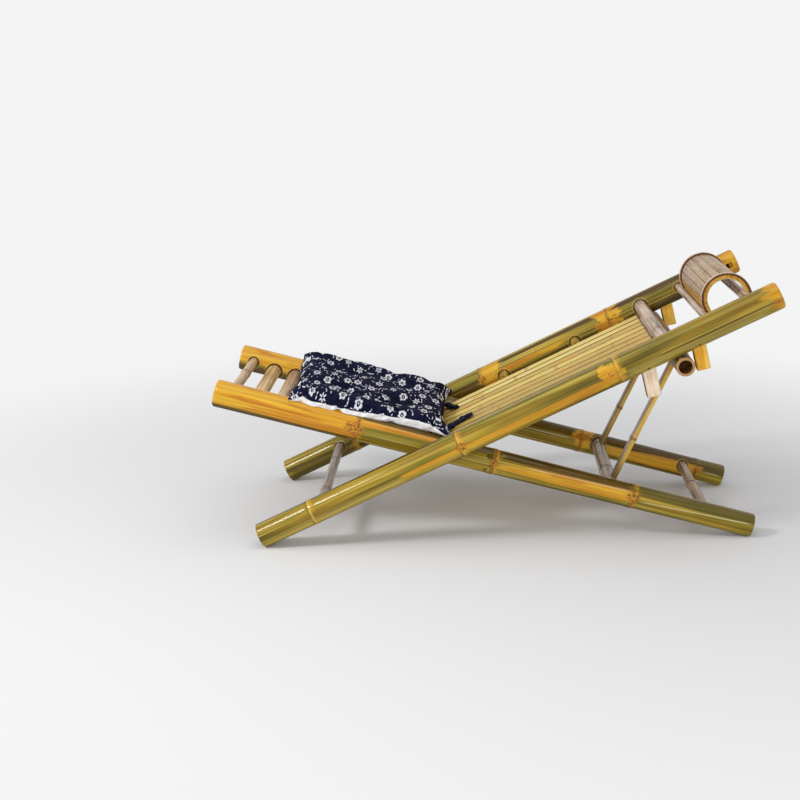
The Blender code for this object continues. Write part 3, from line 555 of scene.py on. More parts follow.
# Back poles: the two longer culms from the front feet up to the head end, outside the seat rails. They are
# olive with flamed amber patches at the nodes and the upper ends, and varnished to a gloss.
back_tilt = math.radians(-25.4)
back_place = Matrix.Translation(pivot) @ Matrix.Rotation(back_tilt, 4, "Y")
pole_y = 0.270
pole_foot = -0.464
pole_head = 0.866
pole_foot_radius = 0.030
pole_head_radius = 0.032
pole_nodes = {"left": (-0.323, 0.066, 0.468), "right": (-0.259, 0.132, 0.504)}
pole_bud_rise = 0.0312
pole_ends = (-0.4638, 0.845)
pole_seeds = {"left": 23, "right": 31}
spare_socket_size = (0.017, 0.024, 0.014)
bed_bar_height = -0.009
pole_rods = ((-0.300, 0.005, 0.0130), (0, 0, 0.0165), (0.189, bed_bar_height, 0.0148),
             (0.398, bed_bar_height, 0.0148), (0.592, 0.001, 0.0182), (0.702, 0.0055, 0.0107),
             (0.804, 0.008, 0.0125))
# In these zone tables the brown zones are partly painted shade and the darker zones are painted shade.
pole_zones = {
    "left": {"scraped": ((0.066, 0.460, -24, 15, -0.010), (0.425, 0.466, 18, 42, 0),
                         (0.840, 0.95, 0, 190, 0), (-0.08, 0.066, -18, 10, 0.02)),
             "brown_and_shade": ((-0.46, 0.07, 96, 20, 0), (-0.46, 0.82, -84, 16, 0)),
             "paled": ((0.49, 0.83, -36, 24, 0), (-0.46, -0.08, -42, 24, 0)),
             "furrow": ((0.560, 0.848, -6),)},
    "right": {"scraped": ((0.132, 0.190, 0, 80, 0), (0.18, 0.365, 4, 16, -0.02), (0.468, 0.530, 10, 75, 0),
                          (0.822, 0.95, 0, 190, 0)),
              "brown_and_shade": ((-0.25, 0.126, -10, 22, 0), (-0.25, 0.82, -34, 20, 0), (0.54, 0.81, 64, 22, 0),
                          (0.19, 0.47, 56, 14, 0)),
              "painted_shade": ((-0.46, -0.27, -34, 44, 0),),
              "furrow": ((0.540, 0.700, -12),),
              "ring": (0.220, 0.105, 0.020)},
}
pole_buds = {"left": ((0.066, -2, 0.0070), (0.448, 6, 0.0035), (0.849, -6, 0.0040)),
             "right": ((0.132, 12, 0.0060), (0.504, 8, 0.0050))}
for side, facing in sides:
    pole_axis = Matrix.Translation((0, facing * pole_y, 0)) @ Matrix.Rotation(math.radians(90), 4, "Y")
    pole = drawn_tube("back_culm_" + side, 72,
                      culm_rings(pole_foot, pole_head, pole_foot_radius, pole_head_radius, pole_nodes[side]))
    set_in_place(pole, back_place @ pole_axis)
    low_y, high_y = sorted((facing * (pole_y - 0.045), facing * (pole_y - 0.012)))
    bits = [round_bit(back_place, reach, height, radius, low_y, high_y)
            for reach, height, radius in pole_rods]
    spare_socket = Matrix.Translation((pole_head - 0.023, facing * (pole_y - pole_head_radius), 0))
    bits.append(block("chisel", back_place @ spare_socket, spare_socket_size))
    drill(pole, bits)
    saw(pole, floor_level)
    for index, (reach, turn, size) in enumerate(pole_buds[side]):
        add_bud(pole, back_place, reach, facing * pole_y, pole_bud_rise, math.radians(turn), size,
                10 + index)
    pole_slope = (pole_head_radius - pole_foot_radius) / (pole_head - pole_foot)
    skin = culm_skin("back_skin_" + side, back_tilt, facing * pole_y,
                     pole_foot_radius - pole_slope * pole_foot, pole_slope, pole_nodes[side],
                     pole_ends, pole_zones[side], pole_buds[side], pole_rods, pole_seeds[side])
    hand_over(pole, skin, "back_frame", "back_pole_" + side)

# Rods: thin bamboo stems left with their own grey-brown skin, cut to length and pushed into the sockets.
# The bed bars are planed flat on top for the slats.
rod_node_profile = ((-0.0090, 0), (-0.0034, 0.0002), (-0.0024, -0.0004), (-0.0014, 0.0008), (0, 0.0011),
                    (0.0014, 0.0006), (0.0040, 0.0003), (0.0090, 0))


def rod_rings(half_length, radius, nodes):
    """Rings of a rod from end to end, a little uneven, with its nodes."""
    pitch = 0.018
    steps = int((2 * half_length - 0.02) / pitch)
    skin = skin_rows(-half_length + 0.012, pitch, steps, nodes, 0.010, rod_node_profile)
    rings = [(-half_length, radius * 0.4), (-half_length, radius * 0.9), (-half_length + 0.0012, radius)]
    for reach, rise in skin:
        rings.append((reach, radius * (0.985 + 0.015 * math.sin(37 * reach + 90 * radius)) + rise))
    rings += [(half_length - 0.0012, radius), (half_length, radius * 0.9), (half_length, radius * 0.4)]
    return rings


def rod_finish(name, dark, middle, light, nodes, roughness, seed):
    """Weathered bamboo skin along Y: fluted grey-brown streaks, darker rings at the nodes."""
    finish, shader, place = new_finish(name)
    along = place.axis(1)
    flute = place.noise(330, 4, 330, seed)
    streak = place.noise(120, 7, 120, seed, detail=3)
    cloud = place.noise(30, 13, 30, seed)
    colour = (flute * 0.35 + streak * 0.35 + cloud * 0.3).ramp([(0.38, dark), (0.50, middle), (0.62, light)])
    colour = (flute.eased(0.45, 0.36) * 0.75).between(colour, tuple(share * 0.5 for share in dark))
    if nodes:
        rings = [(abs(along - node) + (cloud - 0.5) * 0.004).eased(0.0055, 0.0015) for node in nodes]
        colour = (strongest(rings) * 0.7).between(colour, dark)
    lay_on(shader, {"Base Color": colour, "Roughness": roughness + flute * 0.2, "Coat Weight": 0.25,
                    "Coat Roughness": 0.2, "Normal": (flute * 0.7 + streak * 0.3).bump(0.0012, 0.6)})
    return finish


rod_tints = {
    "grey": ((0.105, 0.068, 0.038), (0.310, 0.232, 0.155), (0.490, 0.400, 0.300)),
    "lilac": ((0.130, 0.080, 0.050), (0.420, 0.325, 0.250), (0.640, 0.545, 0.460)),
    "brown": ((0.120, 0.062, 0.028), (0.300, 0.180, 0.095), (0.450, 0.310, 0.190)),
    "tan": ((0.240, 0.145, 0.065), (0.500, 0.330, 0.175), (0.660, 0.480, 0.290)),
    "straw": ((0.350, 0.200, 0.060), (0.670, 0.420, 0.155), (0.790, 0.570, 0.280)),
    "pink": ((0.230, 0.145, 0.095), (0.510, 0.370, 0.265), (0.670, 0.530, 0.420)),
    "gold": ((0.180, 0.095, 0.012), (0.430, 0.250, 0.030), (0.600, 0.400, 0.075)),
}
pole_wall_y = 0.2550
rail_wall_y = 0.1880
headrest_bars = ((0.702, 0.0055, 0.0095), (0.804, 0.008, 0.0115))
bed_half_width = 0.1805
bed_level = -0.0063
iron_height = 0.04
frames = {"back_frame": (back_place, pole_wall_y), "seat_frame": (seat_place, rail_wall_y)}
# Piece, CAD node, body, reach, height, radius, node places, tint, roughness and seed of the grain
rods = (
    ("front_rod", "front_stretcher", "back_frame", -0.300, 0.005, 0.0120, (0.107, -0.150),
     "lilac", 0.30, 37),
    ("axle_rod", "pivot_axle", "back_frame", 0, 0, 0.0155, (0.060,), "tan", 0.40, 40),
    ("lower_bed_rod", "lower_crossbar", "back_frame", 0.189, bed_bar_height, 0.0135, (),
     "gold", 0.40, 41.89),
    ("middle_bed_rod", "middle_crossbar", "back_frame", 0.398, bed_bar_height, 0.0135, (), "gold", 0.40,
     43.98),
    ("upper_rod", "upper_crossbar", "back_frame", 0.592, 0.001, 0.0170, (-0.120,), "pink", 0.38, 45.92),
    ("headrest_low_rod", "headrest_lower_bar", "back_frame", *headrest_bars[0], (0.205,),
     "pink", 0.38, 47.02),
    ("headrest_high_rod", "headrest_upper_bar", "back_frame", *headrest_bars[1], (), "pink", 0.38, 48.04),
    ("first_rung", "seat_rung_1", "seat_frame", -0.505, 0.001, 0.0120, (0.030,), "tan", 0.38, 61),
    ("rear_rod", "rear_stretcher", "seat_frame", 0.666, 0.005, 0.0130, (0.011,), "brown", 0.32, 67),
)
for name, node, body, reach, height, radius, nodes, tint, roughness, seed in rods:
    place, half_length = frames[body]
    rod = drawn_tube(name, 40, rod_rings(half_length, radius, nodes))
    set_in_place(rod, place @ Matrix.Translation((reach, 0, height)) @ across_frame)
    if height == bed_bar_height:
        iron_place = place @ Matrix.Translation((reach, 0, bed_level + iron_height / 2))
        drill(rod, [block("plane_iron", iron_place, (0.06, 2 * bed_half_width, iron_height))])
    hand_over(rod, rod_finish(name + "_skin", *rod_tints[tint], nodes, roughness, seed),
              body, node)

# Split rungs: six half-round strips of thick bamboo under the cushion, skin side up, set in half-round
# mortises of the seat rails.
rung_thickness = 0.0140
split_rung_finishes = [rod_finish("split_rung_skin_1", *rod_tints["tan"], (), 0.40, 70),
                       rod_finish("split_rung_skin_2", *rod_tints["straw"], (), 0.40, 71)]
for index, reach in enumerate(rung_reaches):
    rung = half_round("split_rung_%d" % (index + 1), rung_radius, rung_thickness, 2 * rail_wall_y)
    soften(rung, 0.0018, 3, 40)
    set_in_place(rung, seat_place @ Matrix.Translation((reach, 0, rung_height)))
    hand_over(rung, split_rung_finishes[1 - index % 2], "seat_frame",
              "seat_rung_%d" % (index + 2))

# Back slats: eight split strips of straw-coloured bamboo that fan out a little towards the head. They reach
# from the axle to the upper crossbar, and lie on the two planed bed bars.
slat_count = 8
slat_start = 0.0158
slat_end = 0.5747
slat_gap = 0.0016
slat_thickness = 0.006
slat_low_half = 0.1670
slat_high_half = 0.1800


def mark(piece, kind, test):
    """Opens a piece in edit mode with only those corners, edges or faces selected that pass a test."""
    pick(piece)
    bpy.ops.object.mode_set(mode="EDIT")
    bpy.ops.mesh.select_mode(type=kind)
    bpy.ops.mesh.select_all(action="DESELECT")
    bpy.ops.object.mode_set(mode="OBJECT")
    kinds = {"VERT": piece.data.vertices, "EDGE": piece.data.edges, "FACE": piece.data.polygons}
    for part in kinds[kind]:
        part.select = test(part)
    bpy.ops.object.mode_set(mode="EDIT")


def slat_span(index, reach):
    """Low and high Y of a slat at a distance up the back."""
    half = slat_low_half + (slat_high_half - slat_low_half) * (reach - slat_start) / (slat_end - slat_start)
    pitch = (2 * half + slat_gap) / slat_count
    return -half + index * pitch, -half + (index + 1) * pitch - slat_gap


def slat_finish():
    """Pale straw bamboo planed flat: fine fibres, each slat's own tone, node lines and amber stains, and
    painted shade along the gaps between slats and at their upper ends.
    """
    finish, shader, place = new_finish("slat_skin")
    local = turned_to_frame(place, back_tilt)
    along = local.axis(0)
    across = local.axis(1)
    low_pitch = (2 * slat_low_half + slat_gap) / slat_count
    high_pitch = (2 * slat_high_half + slat_gap) / slat_count
    growth = (high_pitch - low_pitch) / (slat_end - slat_start)
    pitch = (along - slat_start) * growth + low_pitch
    pitches = across / pitch
    row = pitches.math("FLOOR")
    own = row.node("ShaderNodeTexWhiteNoise", {"noise_dimensions": "1D"}, {"W": row})
    fibre = local.noise(9, 900, 900)
    streak = local.noise(3.5, 230, 230, detail=3)
    cloud = local.noise(8, 26, 26)
    tone = fibre * 0.16 + streak * 0.26 + cloud * 0.18 + own * 0.40
    colour = tone.ramp([(0.30, (0.470, 0.305, 0.055)), (0.44, (0.660, 0.465, 0.092)),
                        (0.54, (0.750, 0.555, 0.130)), (0.68, (0.820, 0.650, 0.215))])
    node_pitch = 0.36
    beat = ((along + own * node_pitch) / node_pitch).math("FRACT")
    ring = (abs(beat - 0.5) * node_pitch + (cloud - 0.5) * 0.006).eased(0.0075, 0.0020)
    colour = (ring * 0.55).between(colour, (0.420, 0.215, 0.040))
    stains = []
    for reach, y, length, width in ((0.097, 0.041, 0.024, 0.012), (0.115, 0.106, 0.018, 0.010),
                                    (0.358, 0.055, 0.030, 0.012), (0.345, -0.056, 0.022, 0.012),
                                    (0.020, 0.112, 0.020, 0.012), (0.230, -0.020, 0.016, 0.008)):
        off_stain = abs((along - reach) / length).highest(abs((across - y) / width))
        stains.append((off_stain + (streak - 0.5) * 1.4).eased(1.15, 0.75))
    colour = (strongest(stains) * 0.9).between(colour, (0.700, 0.350, 0.045))
    colour = (along.eased(0.47, 0.565) * 0.6).between(colour, (0.640, 0.390, 0.090))
    colour = (fibre.eased(0.60, 0.80) * 0.35).between(colour, (0.250, 0.140, 0.045))
    # Painted shade: dark bands along the gaps between slats and at their upper ends by the crossbar.
    share = pitches.math("FRACT")
    gap = (pitches + 0.5).math("FLOOR")
    gap_own = gap.node("ShaderNodeTexWhiteNoise", {"noise_dimensions": "1D"}, {"W": gap + 40})
    from_gap = share.lowest(1 - share) * pitch + (streak - 0.5) * 0.0052 - gap_own * 0.0026
    edge = from_gap.eased(0.0042, 0.0016).highest(along.eased(slat_end - 0.0075, slat_end - 0.0035))
    colour = (edge * 0.92).between(colour, (0.085, 0.042, 0.009))
    relief = fibre * 0.6 + streak * 0.4 + ring * 0.6
    lay_on(shader, {"Base Color": colour, "Roughness": 0.40 + fibre * 0.2, "Coat Weight": 0.1,
                    "Coat Roughness": 0.25, "Normal": relief.bump(0.0008, 0.6)})
    return finish


straw = slat_finish()
for index in range(slat_count):
    low_start, high_start = slat_span(index, slat_start)
    low_end, high_end = slat_span(index, slat_end)
    slat = block("slat_%d" % (index + 1),
                 Matrix.Translation(((slat_start + slat_end) / 2, 0, -slat_thickness / 2)),
                 (slat_end - slat_start, high_start - low_start, slat_thickness))
    mark(slat, "VERT", lambda corner: corner.co.x < 0.1)
    bpy.ops.transform.translate(value=(0, (low_start + high_start) / 2, 0))
    bpy.ops.mesh.select_all(action="INVERT")
    bpy.ops.transform.translate(value=(0, (low_end + high_end) / 2, 0))
    bpy.ops.transform.resize(value=(1, (high_end - low_end) / (high_start - low_start), 1),
                             center_override=(slat_end, (low_end + high_end) / 2, 0))
    bpy.ops.object.mode_set(mode="OBJECT")
    corners = slat.data.vertices
    mark(slat, "EDGE", lambda edge: abs(corners[edge.vertices[0]].co.x
                                        - corners[edge.vertices[1]].co.x) > 0.3)
    bpy.ops.mesh.subdivide(number_cuts=30)
    bpy.ops.mesh.select_all(action="SELECT")
    bpy.ops.transform.vertex_random(offset=0.00035, seed=index)
    bpy.ops.object.mode_set(mode="OBJECT")
    soften(slat, 0.0011, 3, 50)
    set_in_place(slat, back_place)
    hand_over(slat, straw, "back_frame", "back_slat_%d" % (index + 1))

# Headrest: a barrel of eight bent-over strips between two bent rims, which stand on the two headrest bars.
# The rims' faces are amber with a dark band near the outer edge and a painted highlight along the inner
# edge. An amber strip and apron close the barrel's lower edge.
headrest_centre = Vector((0.7645, 0, 0.0225))
headrest_place = back_place @ Matrix.Translation(headrest_centre)
barrel_radius = 0.0565
barrel_half_width = 0.174
rim_depth = 0.0125
rim_width = 0.009
ledge_width = 0.010
ledge_depth = 0.005
rim_leg = 0.022


def bent_band(name, inner, outer, low_y, high_y, start, end, steps, round_off):
    """A rounded section swept round the barrel's axis from a start to an end angle above the frame."""
    bpy.ops.object.select_all(action="DESELECT")
    bpy.ops.mesh.primitive_plane_add(size=1)
    band = bpy.context.object
    band.name = name
    set_in_place(band, Matrix.Translation(((inner + outer) / 2, (low_y + high_y) / 2, 0))
                 @ Matrix.Diagonal((outer - inner, high_y - low_y, 1, 1)))
    bpy.ops.object.mode_set(mode="EDIT")
    bpy.ops.mesh.select_mode(type="VERT")
    bpy.ops.mesh.select_all(action="SELECT")
    bpy.ops.mesh.bevel(offset=round_off, segments=3, affect="VERTICES")
    bpy.ops.mesh.delete(type="ONLY_FACE")
    bpy.ops.mesh.select_all(action="SELECT")
    bpy.ops.transform.rotate(value=start, orient_axis="Y", center_override=(0, 0, 0))
    bpy.ops.mesh.spin(steps=steps, angle=end - start, center=(0, 0, 0), axis=(0, 1, 0))
    bpy.ops.object.mode_set(mode="OBJECT")
    return band


def close_ends(band):
    """Fills the open ends of a band and turns its faces outwards."""
    with editing(band):
        bpy.ops.mesh.remove_doubles(threshold=0.00005)
        bpy.ops.mesh.fill_holes(sides=0)
        bpy.ops.mesh.normals_make_consistent(inside=False)


def add_legs(band, drop):
    """Draws the two open ends of an arch straight down."""
    pick(band)
    bpy.ops.object.mode_set(mode="EDIT")
    bpy.ops.mesh.select_mode(type="EDGE")
    bpy.ops.mesh.select_all(action="DESELECT")
    bpy.ops.mesh.select_non_manifold()
    bpy.ops.mesh.extrude_region_move(TRANSFORM_OT_translate={"value": (0, 0, -drop)})
    bpy.ops.object.mode_set(mode="OBJECT")


def headrest_finish(name, tints, ring_bands, dark_ends, seed):
    """Bent bamboo: fibres along the strips or round the arch, darker or paler bands by radius, and painted
    shadow lines where it meets the rims."""
    finish, shader, place = new_finish(name)
    local = turned_to_frame(place, back_tilt)
    fibre = local.noise(700, 8, 700, seed)
    streak = local.noise(150, 5, 150, seed, detail=3)
    cloud = local.noise(30, 30, 30, seed)
    colour = (fibre * 0.35 + streak * 0.4 + cloud * 0.25).ramp(list(zip((0.38, 0.50, 0.62), tints)))
    from_x = local.axis(0) - headrest_centre.x
    from_z = (local.axis(2) - headrest_centre.z).highest(0)
    out = from_x.distance(from_z) + (cloud - 0.5) * 0.0015
    for low, high, tint in ring_bands:
        band = out.eased(low - 0.0004, low + 0.0004) * out.eased(high + 0.0004, high - 0.0004)
        colour = (band * 0.9).between(colour, tint)
    colour = (fibre.eased(0.60, 0.78) * 0.3).between(colour, tints[0])
    # Painted shadow: a dark line on the strips' ends where the proud rims shade them.
    rim_shadow = abs(local.axis(1)).eased(dark_ends - 0.0085, dark_ends - 0.0065) * 0.92
    colour = rim_shadow.between(colour, (0.060, 0.020, 0.008))
    lay_on(shader, {"Base Color": colour, "Roughness": 0.36 + fibre * 0.2, "Coat Weight": 0.12,
                    "Coat Roughness": 0.2, "Normal": (fibre * 0.5 + streak * 0.5).bump(0.0006, 0.6)})
    return finish


def bar_bits(bars):
    """Drill bits that clear the headrest bars."""
    clear = 0.0004
    reach_y = 0.24
    return [round_bit(back_place, reach, height, radius + clear, -reach_y, reach_y)
            for reach, height, radius in bars]


rim_inner = barrel_radius - rim_depth
strip_end = barrel_half_width - rim_width - 0.0003
rim_proud = 0.0025
# Bands on the rims' faces by radius: the pale outer surface, a dark band, and a painted highlight along the
# inner edge.
rim_bands = ((0.0580, 0.0800, (0.620, 0.480, 0.400)), (0.0525, 0.0580, (0.070, 0.022, 0.007)),
             (0.0300, 0.0458, (0.780, 0.560, 0.310)))
rim_finish = headrest_finish("rim_skin", ((0.330, 0.130, 0.015), (0.600, 0.300, 0.040),
                                          (0.740, 0.470, 0.130)), rim_bands, 1, 5)
strip_finish = headrest_finish("barrel_strip_skin", ((0.250, 0.150, 0.080), (0.440, 0.300, 0.180),
                                                     (0.570, 0.420, 0.280)), (), strip_end, 9)
apron_finish = headrest_finish("apron_skin", ((0.400, 0.180, 0.020), (0.660, 0.350, 0.040),
                                              (0.780, 0.520, 0.130)), (), strip_end, 13)
for side, facing in sides:
    low_y, high_y = sorted((facing * (barrel_half_width - rim_width), facing * barrel_half_width))
    rim = bent_band("headrest_arch_" + side, rim_inner, barrel_radius + rim_proud, low_y, high_y, 0, math.pi,
                    48, 0.0018)
    add_legs(rim, rim_leg)
    close_ends(rim)
    ledge_low, ledge_high = sorted((facing * (barrel_half_width - rim_width - ledge_width),
                                    facing * (barrel_half_width - rim_width + 0.002)))
    ledge = bent_band("ledge", rim_inner + 0.0002, rim_inner + ledge_depth, ledge_low, ledge_high, 0,
                      math.pi, 48, 0.0008)
    add_legs(ledge, rim_leg - 0.0002)
    close_ends(ledge)
    for band in (rim, ledge):
        set_in_place(band, headrest_place)
        drill(band, bar_bits(headrest_bars))
    pick(rim, ledge)
    bpy.ops.object.join()
    hand_over(rim, rim_finish, "back_frame", "headrest_rim_" + side)
strip_inner = rim_inner + ledge_depth + 0.0003
strip_outer = strip_inner + 0.0052
apron_thickness = 0.005
strip_pitch = math.radians(21.5)
strip_lean = math.radians(9.5)
strip_gap = 0.0013
strip_count = 8
for index in range(strip_count):
    middle = math.radians(90) + strip_lean + ((strip_count - 1) / 2 - index) * strip_pitch
    half_turn = (strip_pitch - strip_gap / strip_outer) / 2
    strip = bent_band("barrel_strip_%d" % (index + 1), strip_inner, strip_outer, -strip_end, strip_end,
                      middle - half_turn, middle + half_turn, 6, 0.0008)
    close_ends(strip)
    soften(strip, 0.0007, 2, 50)
    set_in_place(strip, headrest_place)
    drill(strip, bar_bits(headrest_bars))
    hand_over(strip, apron_finish if index == 0 else strip_finish, "back_frame",
              "headrest_strip_%d" % (index + 1))
apron_height = 0.016
first_strip_turn = strip_pitch * strip_count / 2 + strip_lean
apron_top = (strip_inner + apron_thickness) * math.cos(first_strip_turn) - strip_gap
apron_place = Matrix.Translation((-strip_inner - apron_thickness / 2, 0, apron_top - apron_height / 2))
apron = block("barrel_apron", apron_place, (apron_thickness, 2 * strip_end, apron_height))
soften(apron, 0.0012, 3, 30)
set_in_place(apron, headrest_place)
drill(apron, bar_bits(headrest_bars[:1]))
hand_over(apron, apron_finish, "back_frame", "headrest_apron")

# Pegs: square hardwood pegs let into the poles' underside, the stops for the prop. The upper pair is amber
# with age and the lower pair fresh and pale. A thin pin driven from outside holds each one.


def peg_finish(name, dark, middle, light, side_shade, start, seed):
    """Planed wood: straight grain down the peg with dark flecks, and painted shade on its side towards the
    seat.
    """
    finish, shader, place = new_finish(name)
    local = turned_to_frame(place, back_tilt + peg_lean, back_place @ Vector((start, 0, 0)))
    grain = local.noise(260, 260, 9, seed, detail=3)
    cloud = local.noise(40, 40, 22, seed)
    colour = (grain * 0.6 + cloud * 0.4).ramp([(0.36, dark), (0.48, middle), (0.62, light)])
    fleck = (grain.eased(0.62, 0.70) * cloud.eased(0.48, 0.60)) * 0.7
    colour = fleck.between(colour, dark)
    # Painted shade on the peg's side towards the seat.
    front = local.axis(0).eased(0.0016, 0.0006)
    colour = (front * 0.9).between(colour, side_shade)
    lay_on(shader, {"Base Color": colour, "Roughness": 0.46 + grain * 0.2,
                    "Normal": grain.bump(0.0008, 0.6)})
    return finish


upper_peg_start = 0.6450
lower_peg_start = 0.5190
peg_lean = math.radians(12)
peg_root = 0.016
peg_width = 0.028
pin_drop = 0.021
pole_pin_radius = 0.0316
amber_peg = peg_finish("amber_peg", (0.740, 0.350, 0.028), (0.860, 0.500, 0.070), (0.900, 0.620, 0.160),
                       (0.330, 0.130, 0.015), upper_peg_start, 3)
fresh_peg = peg_finish("fresh_peg", (0.640, 0.450, 0.280), (0.820, 0.650, 0.470), (0.890, 0.760, 0.600),
                       (0.075, 0.034, 0.014), lower_peg_start, 8)
pin_finish = peg_finish("pin_wood", (0.030, 0.014, 0.006), (0.080, 0.036, 0.014), (0.140, 0.070, 0.030),
                        (0.030, 0.014, 0.006), 0, 12)
# Name, start along the pole, length, drop below the pole's axis, finish and slot
pegs = (("upper_peg", upper_peg_start, 0.031, 0.081, amber_peg, "amber_bamboo"),
        ("lower_peg", lower_peg_start, 0.033, 0.090, fresh_peg, "fresh_peg"))
for node, reach, length, drop, finish, slot in pegs:
    for side, facing in sides:
        peg = block(node + "_block_" + side, Matrix.Translation((0, 0, -(drop + peg_root) / 2)),
                    (length, peg_width, drop - peg_root))
        with editing(peg):
            bpy.ops.mesh.subdivide(number_cuts=3)
            bpy.ops.transform.vertex_random(offset=0.0003, seed=5)
        soften(peg, 0.0028, 3, 50)
        set_in_place(peg, back_place @ Matrix.Translation((reach, facing * pole_y, 0))
                     @ Matrix.Rotation(peg_lean, 4, "Y") @ Matrix.Translation((length / 2, 0, 0)))
        hand_over(peg, finish, "back_frame", "%s_%s" % (node, side))
        pin_reach = reach + length / 2 - pin_drop * math.tan(peg_lean)
        pole_face = math.sqrt(pole_pin_radius ** 2 - pin_drop ** 2)
        pin = drawn_tube("%s_trenail_%s" % (node, side), 16,
                         [(0.009, 0.0020), (pole_face - 0.001, 0.0022), (pole_face + 0.0004, 0.0022),
                          (pole_face + 0.0010, 0.0017), (pole_face + 0.0012, 0.0006)])
        set_in_place(pin, back_place @ Matrix.Translation((pin_reach, facing * pole_y, -pin_drop))
                     @ Matrix.Rotation(math.radians(-90 * facing), 4, "X"))
        hand_over(pin, pin_finish, "back_frame", "%s_%s_pin" % (node, side))

# Prop: a foot bar that turns in the seat rails, two flat split struts and a hollow bamboo top bar, which
# bears under the back poles against the pegs.
prop_foot = Vector(frame["joints"][1]["pos_m"])
top_low, top_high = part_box("prop_top_bar")
prop_top = (top_low + top_high) / 2
prop_rise = prop_top - prop_foot
prop_tilt = -math.atan2(prop_rise.z, prop_rise.x)
prop_place = Matrix.Translation(prop_foot) @ Matrix.Rotation(prop_tilt, 4, "Y")
foot_bar_radius = 0.0170
foot_bar_nodes = (-0.059, 0.150)
foot_bar = drawn_tube("prop_foot_rod", 48, rod_rings(rail_wall_y, foot_bar_radius, foot_bar_nodes))
set_in_place(foot_bar, prop_place @ across_frame)
foot_bar_skin = rod_finish("prop_foot_skin", *rod_tints["grey"], foot_bar_nodes, 0.26, 81)
hand_over(foot_bar, foot_bar_skin, "prop", "prop_foot_bar")
top_radius = 0.0220
top_bore = 0.0155
top_half = 0.300
top_nodes = (-0.215, 0.120)
top_rings = [(-top_half + 0.055, top_bore), (-top_half + 0.0008, top_bore), (-top_half, top_bore + 0.0008),
             (-top_half, top_radius - 0.0012), (-top_half + 0.0012, top_radius - 0.0003)]
low_profile = [(along, rise * 0.6) for along, rise in rod_node_profile]
top_skin = skin_rows(-top_half + 0.012, 0.02, 29, top_nodes, 0.010, low_profile)
top_rings += [(reach, top_radius - 0.0003 + rise) for reach, rise in top_skin]
top_rings += [(top_half - 0.0012, top_radius - 0.0003), (top_half, top_radius - 0.0012),
              (top_half, top_bore + 0.0008), (top_half - 0.0008, top_bore), (top_half - 0.055, top_bore)]
top_bar = drawn_tube("prop_top_culm", 56, top_rings)
set_in_place(top_bar, Matrix.Translation(prop_top) @ across_frame)


def top_bar_finish():
    """Brown smoked skin outside, pinkish end grain on the cut rings, dark inside the bore."""
    finish, shader, place = new_finish("prop_top_skin")
    along = place.axis(1)
    from_x = place.axis(0) - prop_top.x
    from_z = place.axis(2) - prop_top.z
    out = from_x.distance(from_z)
    fibre = place.noise(420, 5, 420, 4)
    streak = place.noise(130, 6, 130, 4, detail=3)
    pores = place.noise(1500, 1500, 1500, detail=1)
    colour = (fibre * 0.4 + streak * 0.6).ramp([(0.38, (0.090, 0.038, 0.008)), (0.50, (0.230, 0.120, 0.035)),
                                                (0.63, (0.400, 0.250, 0.095))])
    cut_end = abs(along).eased(top_half - 0.0016, top_half - 0.0006)
    grain = pores.ramp([(0.36, (0.310, 0.140, 0.045)), (0.52, (0.480, 0.260, 0.095)),
                        (0.66, (0.620, 0.390, 0.180))])
    colour = cut_end.between(colour, grain)
    bore = out.eased(top_bore + 0.0009, top_bore + 0.0002)
    colour = bore.between(colour, (0.170, 0.075, 0.026))
    lay_on(shader, {"Base Color": colour, "Roughness": 0.34 + fibre * 0.2 + cut_end * 0.2,
                    "Normal": (fibre * 0.6 + streak * 0.4).bump(0.0006, 0.5)})
    return finish


hand_over(top_bar, top_bar_finish(), "prop", "prop_top_bar")
strut_y = 0.155
strut_width = 0.022
strut_thickness = 0.013
strut_root = 0.009
strut_node = 0.124


def strut_finish():
    """Split bamboo lengthwise: grey weathered skin on the upper side, amber where it was split."""
    finish, shader, place = new_finish("strut_skin")
    local = turned_to_frame(place, prop_tilt, prop_foot)
    fibre = local.noise(9, 600, 600, 2)
    streak = local.noise(5, 160, 160, 2, detail=3)
    cloud = local.noise(14, 40, 40, 2)
    colour = (streak * 0.5 + cloud * 0.3 + fibre * 0.2).ramp([(0.36, (0.440, 0.200, 0.016)),
                                                             (0.50, (0.660, 0.390, 0.045)),
                                                             (0.64, (0.770, 0.540, 0.130))])
    skin = (local.axis(2) + (streak - 0.5) * 0.004).eased(strut_thickness * 0.18, strut_thickness * 0.26)
    weathered = fibre.ramp([(0.38, (0.190, 0.130, 0.080)), (0.62, (0.430, 0.340, 0.240))])
    colour = skin.between(colour, weathered)
    along = local.axis(0)
    # Darker towards the lower end, by the foot bar.
    low_end_dark = along.eased(0.095, 0.020) * 0.75
    colour = low_end_dark.between(colour, (0.110, 0.062, 0.022))
    ring = (abs(along - strut_node) + (cloud - 0.5) * 0.004).eased(0.005, 0.001) * 0.7
    colour = ring.between(colour, (0.160, 0.070, 0.015))
    lay_on(shader, {"Base Color": colour, "Roughness": 0.36 + fibre * 0.2, "Coat Weight": 0.25,
                    "Coat Roughness": 0.2, "Normal": (fibre * 0.6 + streak * 0.4).bump(0.0006, 0.6)})
    return finish


